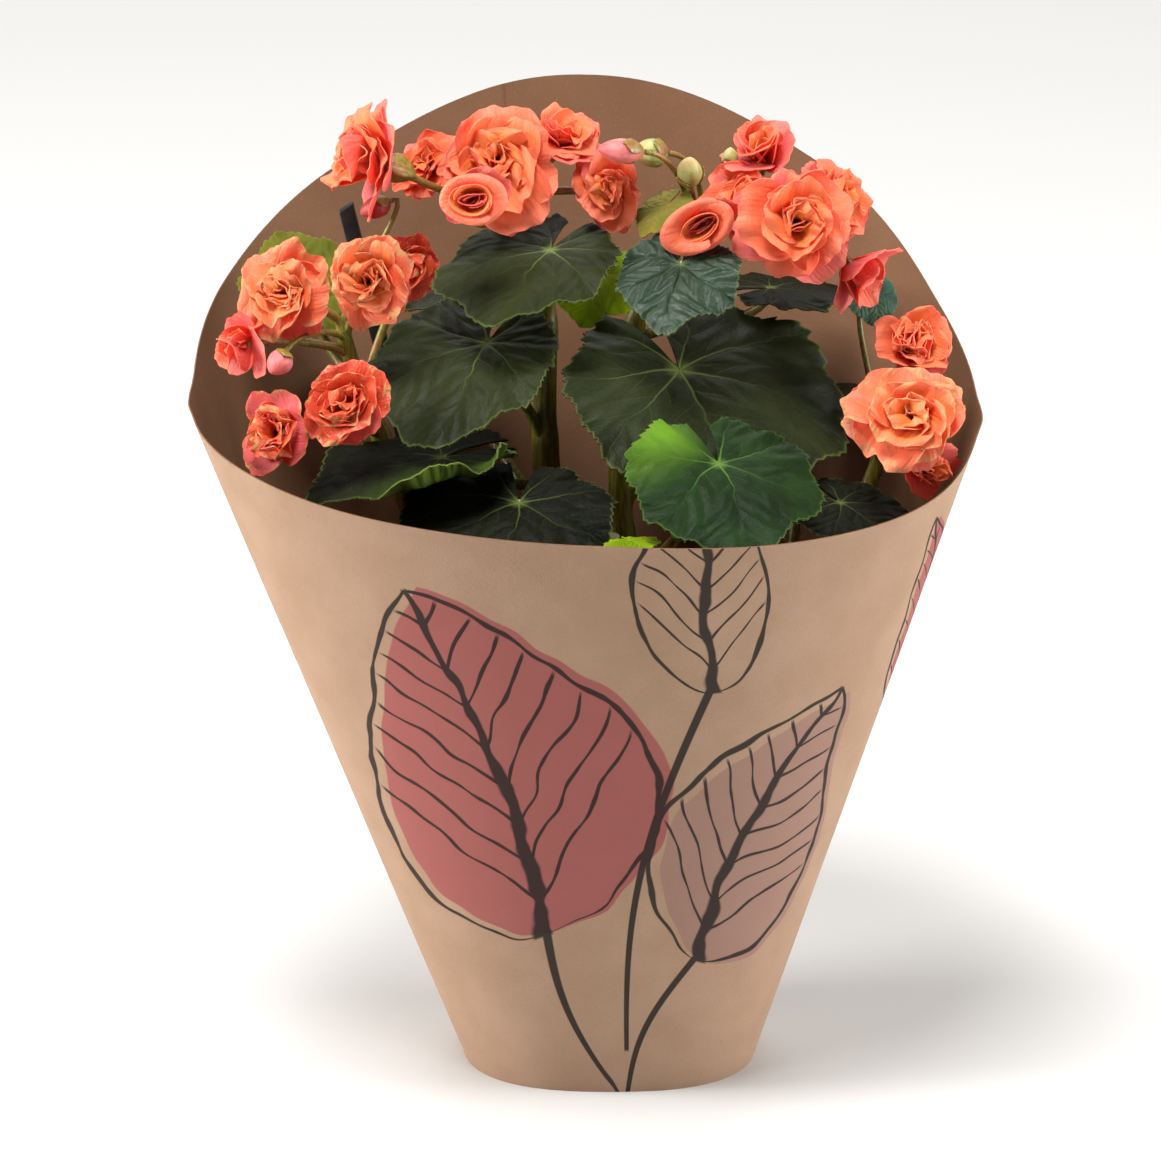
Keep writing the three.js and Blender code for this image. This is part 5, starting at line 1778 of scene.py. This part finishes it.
SHINGLE = math.radians(9)  # each petal lies a little on its neighbour
FOOT_RADIUS = 0.06  # of the flower's radius
HEART_SHIFT, HEART_HEIGHT = 0.1, 0.24  # how far the heart may stand off the middle, and where
TURN_STRAY = 0.22  # radians
TIP_STRAY = (-15, 13)  # degrees
SHINGLE_STRAY = (0.4, 1.6)
SIZE_STRAY = (0.84, 1.08)
WRAP_LOOSE = 0.4  # how much of that a petal has that wraps round the axis
CLOSED_LEAN = 0.8  # how far the petals of a closed flower lean back towards its axis
WAVES, WAVE_RATE = 4, 1.9  # how many waves go through a flower, and how many radians in a radius
LOOSE = {"cup": 0.03, "aged": 0.1, "ruffled": 0.085}  # their height, as a share of the radius
LOOSE_OTHERS = 0.065
CUSHION = [(0, 0), (0.1, 0.0), (0.16, 0.08), (0.15, 0.18), (0.08, 0.26), (0, 0.3)]
OVARY_BODY, OVARY_WINGS = 0.15, 0.19  # radius of the seed vessel, and how far its wings stand off
OVARY_TOP, OVARY_LENGTH = 0.04, 0.66
WITH_OVARY = ("01", "06", "10", "12", "16", "19", "20", "21")


def flower_points(flower, draw):
    """Where each petal starts, which kind it is, how it is turned and its size."""
    radius = flower["size"] / 2 * MM
    closed = 1 - flower.get("open", 1)
    shift = np.array([draw.uniform(-1, 1), draw.uniform(-1, 1)]) * HEART_SHIFT
    places, kinds_used, poses, sizes = [], [], [], []
    for kind_name, count, foot, offset, share in FORMS[flower.get("form", "ruffled")]:
        wraps = kind_name in WRAP_KINDS
        lean = 0 if wraps else sum(PETAL_KINDS[kind_name]["lean"]) / 2
        off_axis = 0 if wraps else FOOT_RADIUS
        loose = WRAP_LOOSE if wraps else 1
        for k in range(count):
            turn = 2 * math.pi * (k + offset) / count + math.radians(flower.get("turn", 0))
            turn += draw.uniform(-TURN_STRAY, TURN_STRAY)
            tip_in = math.radians(draw.uniform(*TIP_STRAY)) * loose
            tip_in -= math.radians(lean * closed * CLOSED_LEAN)
            middle = shift * foot / HEART_HEIGHT
            places.append([
                (math.cos(turn) * off_axis + middle[0]) * radius,
                (math.sin(turn) * off_axis + middle[1]) * radius, foot * radius,
            ])
            kinds_used.append(kind_index[kind_name] + draw.randrange(len(TIPS)))
            poses.append([SHINGLE * draw.uniform(*SHINGLE_STRAY) * loose, tip_in, turn])
            sizes.append(share * draw.uniform(*SIZE_STRAY))
    return np.array(places), kinds_used, poses, sizes


def loosen(piece, radius, amount, draw):
    """Slow waves through a whole flower, so that its whorls lose their strict order."""
    flat = np.zeros(len(piece.data.vertices) * 3)
    piece.data.vertices.foreach_get("co", flat)
    places = flat.reshape(-1, 3)
    moved = np.zeros_like(places)
    for _ in range(WAVES):
        wave = np.array([draw.gauss(0, WAVE_RATE) for _ in range(3)]) / radius
        way = np.array([draw.uniform(-1, 1) for _ in range(3)])
        phase = draw.uniform(0, 2 * math.pi)
        moved += (np.sin(places @ wave + phase) - math.sin(phase))[:, None] * way
    piece.data.vertices.foreach_set("co", (places + amount * radius * moved).ravel())


def press(piece, angle, share):
    """Presses a flower flat along one direction across its face."""
    turned = Matrix.Rotation(math.radians(angle), 4, "Z")
    piece.data.transform(turned @ Matrix.Diagonal((share, 1, 1, 1)) @ turned.inverted())


def flower_axes(organ):
    """The flower's own frame: its foot at the origin, its face looking along +Z."""
    face = Vector(heading(organ["head"], organ["tilt"]))
    across = Vector((0, 0, 1)).cross(face).normalized()
    up = face.cross(across)
    frame_now = Matrix((across, up, face)).transposed().to_4x4()
    return Matrix.Translation(Vector(metres(organ["at"]))) @ frame_now


def round_body(name, shape, rings, sides, material, label):
    """A closed body whose places shape gives from its turns and its shares of the length."""
    turns = np.linspace(0, 2 * np.pi, sides + 1)
    turns, shares = np.meshgrid(turns, np.linspace(0, 1, rings + 1))
    flat = np.stack([turns / (2 * np.pi), shares], -1).reshape(-1, 2)
    faces = grid_faces(rings, sides)[:, ::-1]
    piece = mesh_object(name, shape(turns, shares).reshape(-1, 3), faces, {label: flat}, [material])
    weld = piece.modifiers.new("weld", "WELD")
    weld.merge_threshold = WELD_GAP
    return as_mesh(piece, name)


def ovary_places(radius):
    """The winged seed vessel behind a flower, from its foot back along the stalk."""
    def shape(turns, shares):
        body = OVARY_BODY * np.sin(np.pi * shares**0.8) ** 0.6
        wings = OVARY_WINGS * np.sin(np.pi * shares**0.6) ** 0.8
        out = (body + wings * np.abs(np.cos(1.5 * turns)) ** 6) * radius
        height = (OVARY_TOP - OVARY_LENGTH * shares) * radius
        return np.stack([out * np.cos(turns), -out * np.sin(turns), height], -1)
    return shape


def build_flower(number, flower):
    draw = random.Random(int(number))
    places, kinds_used, poses, sizes = flower_points(flower, draw)
    source = marked_points("petal points", places, kind=kinds_used, pose=poses, size=sizes)
    face, back = PETAL_FINISHES[flower.get("finish", "fresh")]
    radius = flower["size"] / 2 * MM
    piece = run_tree(
        source, flower_tree, f"flower_{number}", Petals=petal_store,
        Flower_Radius=radius * flower.get("grow", 1), Face=face, Back=back,
    )
    if "press" in flower:
        press(piece, *flower["press"])
    loosen(piece, radius, LOOSE.get(flower.get("form", "ruffled"), LOOSE_OTHERS), draw)
    profile = [(r * radius, h * radius) for r, h in CUSHION]
    parts = [piece, turned_piece("cushion", profile, 16, stalk_skin)]
    if number in WITH_OVARY:
        parts.append(round_body("ovary", ovary_places(radius), 14, 42, stalk_skin, "ovary"))
    piece = join_pieces(f"flower_{number}", parts)
    piece.data.transform(flower_axes(flower))
    settle(piece, f"bloom_{number}")
    return piece


face_count = 0
for stem in STEMS.values():
    for number, flower in stem.get("blooms", {}).items():
        face_count += len(build_flower(number, flower).data.polygons)
print("Flowers:", face_count, "faces")

# %% [markdown]
# ## Buds
#
# A begonia's bud is two rounded petals pressed together like a shell, with a seam down each
# side and a small beak. It is one closed body of turned rings, flattened from front to back,
# with the seam pressed in, and two green sepals hug its foot.

# %% Buds
def bud_finish(name, *colours):
    """A bud's skin from three colours: the light one, the deep one and the one of its tip."""
    skin_light, skin_deep, tip_colour = (tint(*colour) for colour in colours)
    material, tree, shader = new_finish(name, 0.4, 0.45)
    spots = use_group(tree, mottling, Cloud_Size=0.004, Grain_Size=0.0005)
    skin = blend_colours(tree, spots["Cloud"], skin_deep, skin_light)
    tip_mask = fade(tree, uv_parts(tree, "bud")[1], 0.55, 1.0)
    skin = lay_over(tree, skin, tip_mask, 0.7, tip_colour)
    cover(tree, shader, skin, spots["Grain"], 0.3, 0.0003)
    let_light_spread(shader, 0.15, (1.0, 0.5, 0.3))
    return material


BUD_FINISHES = {
    "pink": ("pink_bud", bud_finish("pink bud", (226, 128, 124), (206, 96, 92), (204, 84, 84))),
    "green": ("green_bud", bud_finish("green bud", (178, 180, 110), (146, 152, 80), (206, 170, 120))),
    "red": ("petal", bud_finish("red bud", (186, 62, 54), (150, 40, 38), (170, 48, 44))),
}
BUD_RINGS, BUD_SIDES = 24, 32
BUD_RADIUS, BUD_FLATNESS = 0.37, 0.88  # in bud lengths, and from front to back
SEAM_DEPTH, SEAM_WIDTH = 0.1, 0.2  # as a share of the radius, and in radians
SEPAL_THICK, SEPAL_STEPS = 0.0003, 12
SEPAL_TURNS = (1.0, 4.1)  # where the two sepals are, in radians


def bud_places(bud):
    """The outline of a bud of size 1, pressed flat along two seams, with its tip bent by hook."""
    def shape(turns, shares):
        out = np.sin(np.pi * np.clip(shares, 0, 1) ** 0.9) ** 0.62
        out = BUD_RADIUS * bud.get("plump", 1) * out
        from_seam = np.abs((turns + np.pi / 2) % np.pi - np.pi / 2)
        seam = SEAM_DEPTH * np.exp(-((from_seam / SEAM_WIDTH) ** 2))
        out = out * (1 - seam * np.sin(np.pi * shares)) * (1 + 0.02 * np.cos(6 * turns))
        lean = 0.05 * np.sin(np.pi * shares) + bud.get("hook", 0) * shares**6
        flat = BUD_FLATNESS * out * np.sin(turns)
        return np.stack([out * np.cos(turns) + lean, flat, shares], -1)
    return shape


def build_sepal(bud, middle, size):
    """A small green leaf that hugs the foot of a bud."""
    across, along = sheet_grid(SEPAL_STEPS, SEPAL_STEPS)
    spread = 0.95 * np.sin(np.pi * (0.2 + 0.8 * along)) ** 0.8
    places = bud_places(bud)(middle + spread * across, 0.02 + 0.5 * along * (1 - 0.15 * across**2))
    places[..., :2] *= (1.06 + 0.16 * along**2)[..., None]
    faces = grid_faces(SEPAL_STEPS, SEPAL_STEPS)
    piece = mesh_object("sepal", places.reshape(-1, 3) * size, faces, None, [stalk_skin])
    return thicken(piece, SEPAL_THICK)


def build_bud(name, bud):
    slot_name, finish = BUD_FINISHES[bud["finish"]]
    size = bud["size"] * MM

    def shape(turns, shares):
        return bud_places(bud)(turns, shares) * size

    parts = [round_body("tepals", shape, BUD_RINGS, BUD_SIDES, finish, "bud")]
    parts += [build_sepal(bud, middle, size) for middle in SEPAL_TURNS]
    piece = join_pieces(f"bud_{name}_tepals", parts)
    piece.data.transform(flower_axes(bud))
    settle(piece, f"bud_{name}")


for stem in STEMS.values():
    for name, bud in stem.get("buds", {}).items():
        build_bud(name, bud)
print("Pieces in all:", len(finished))
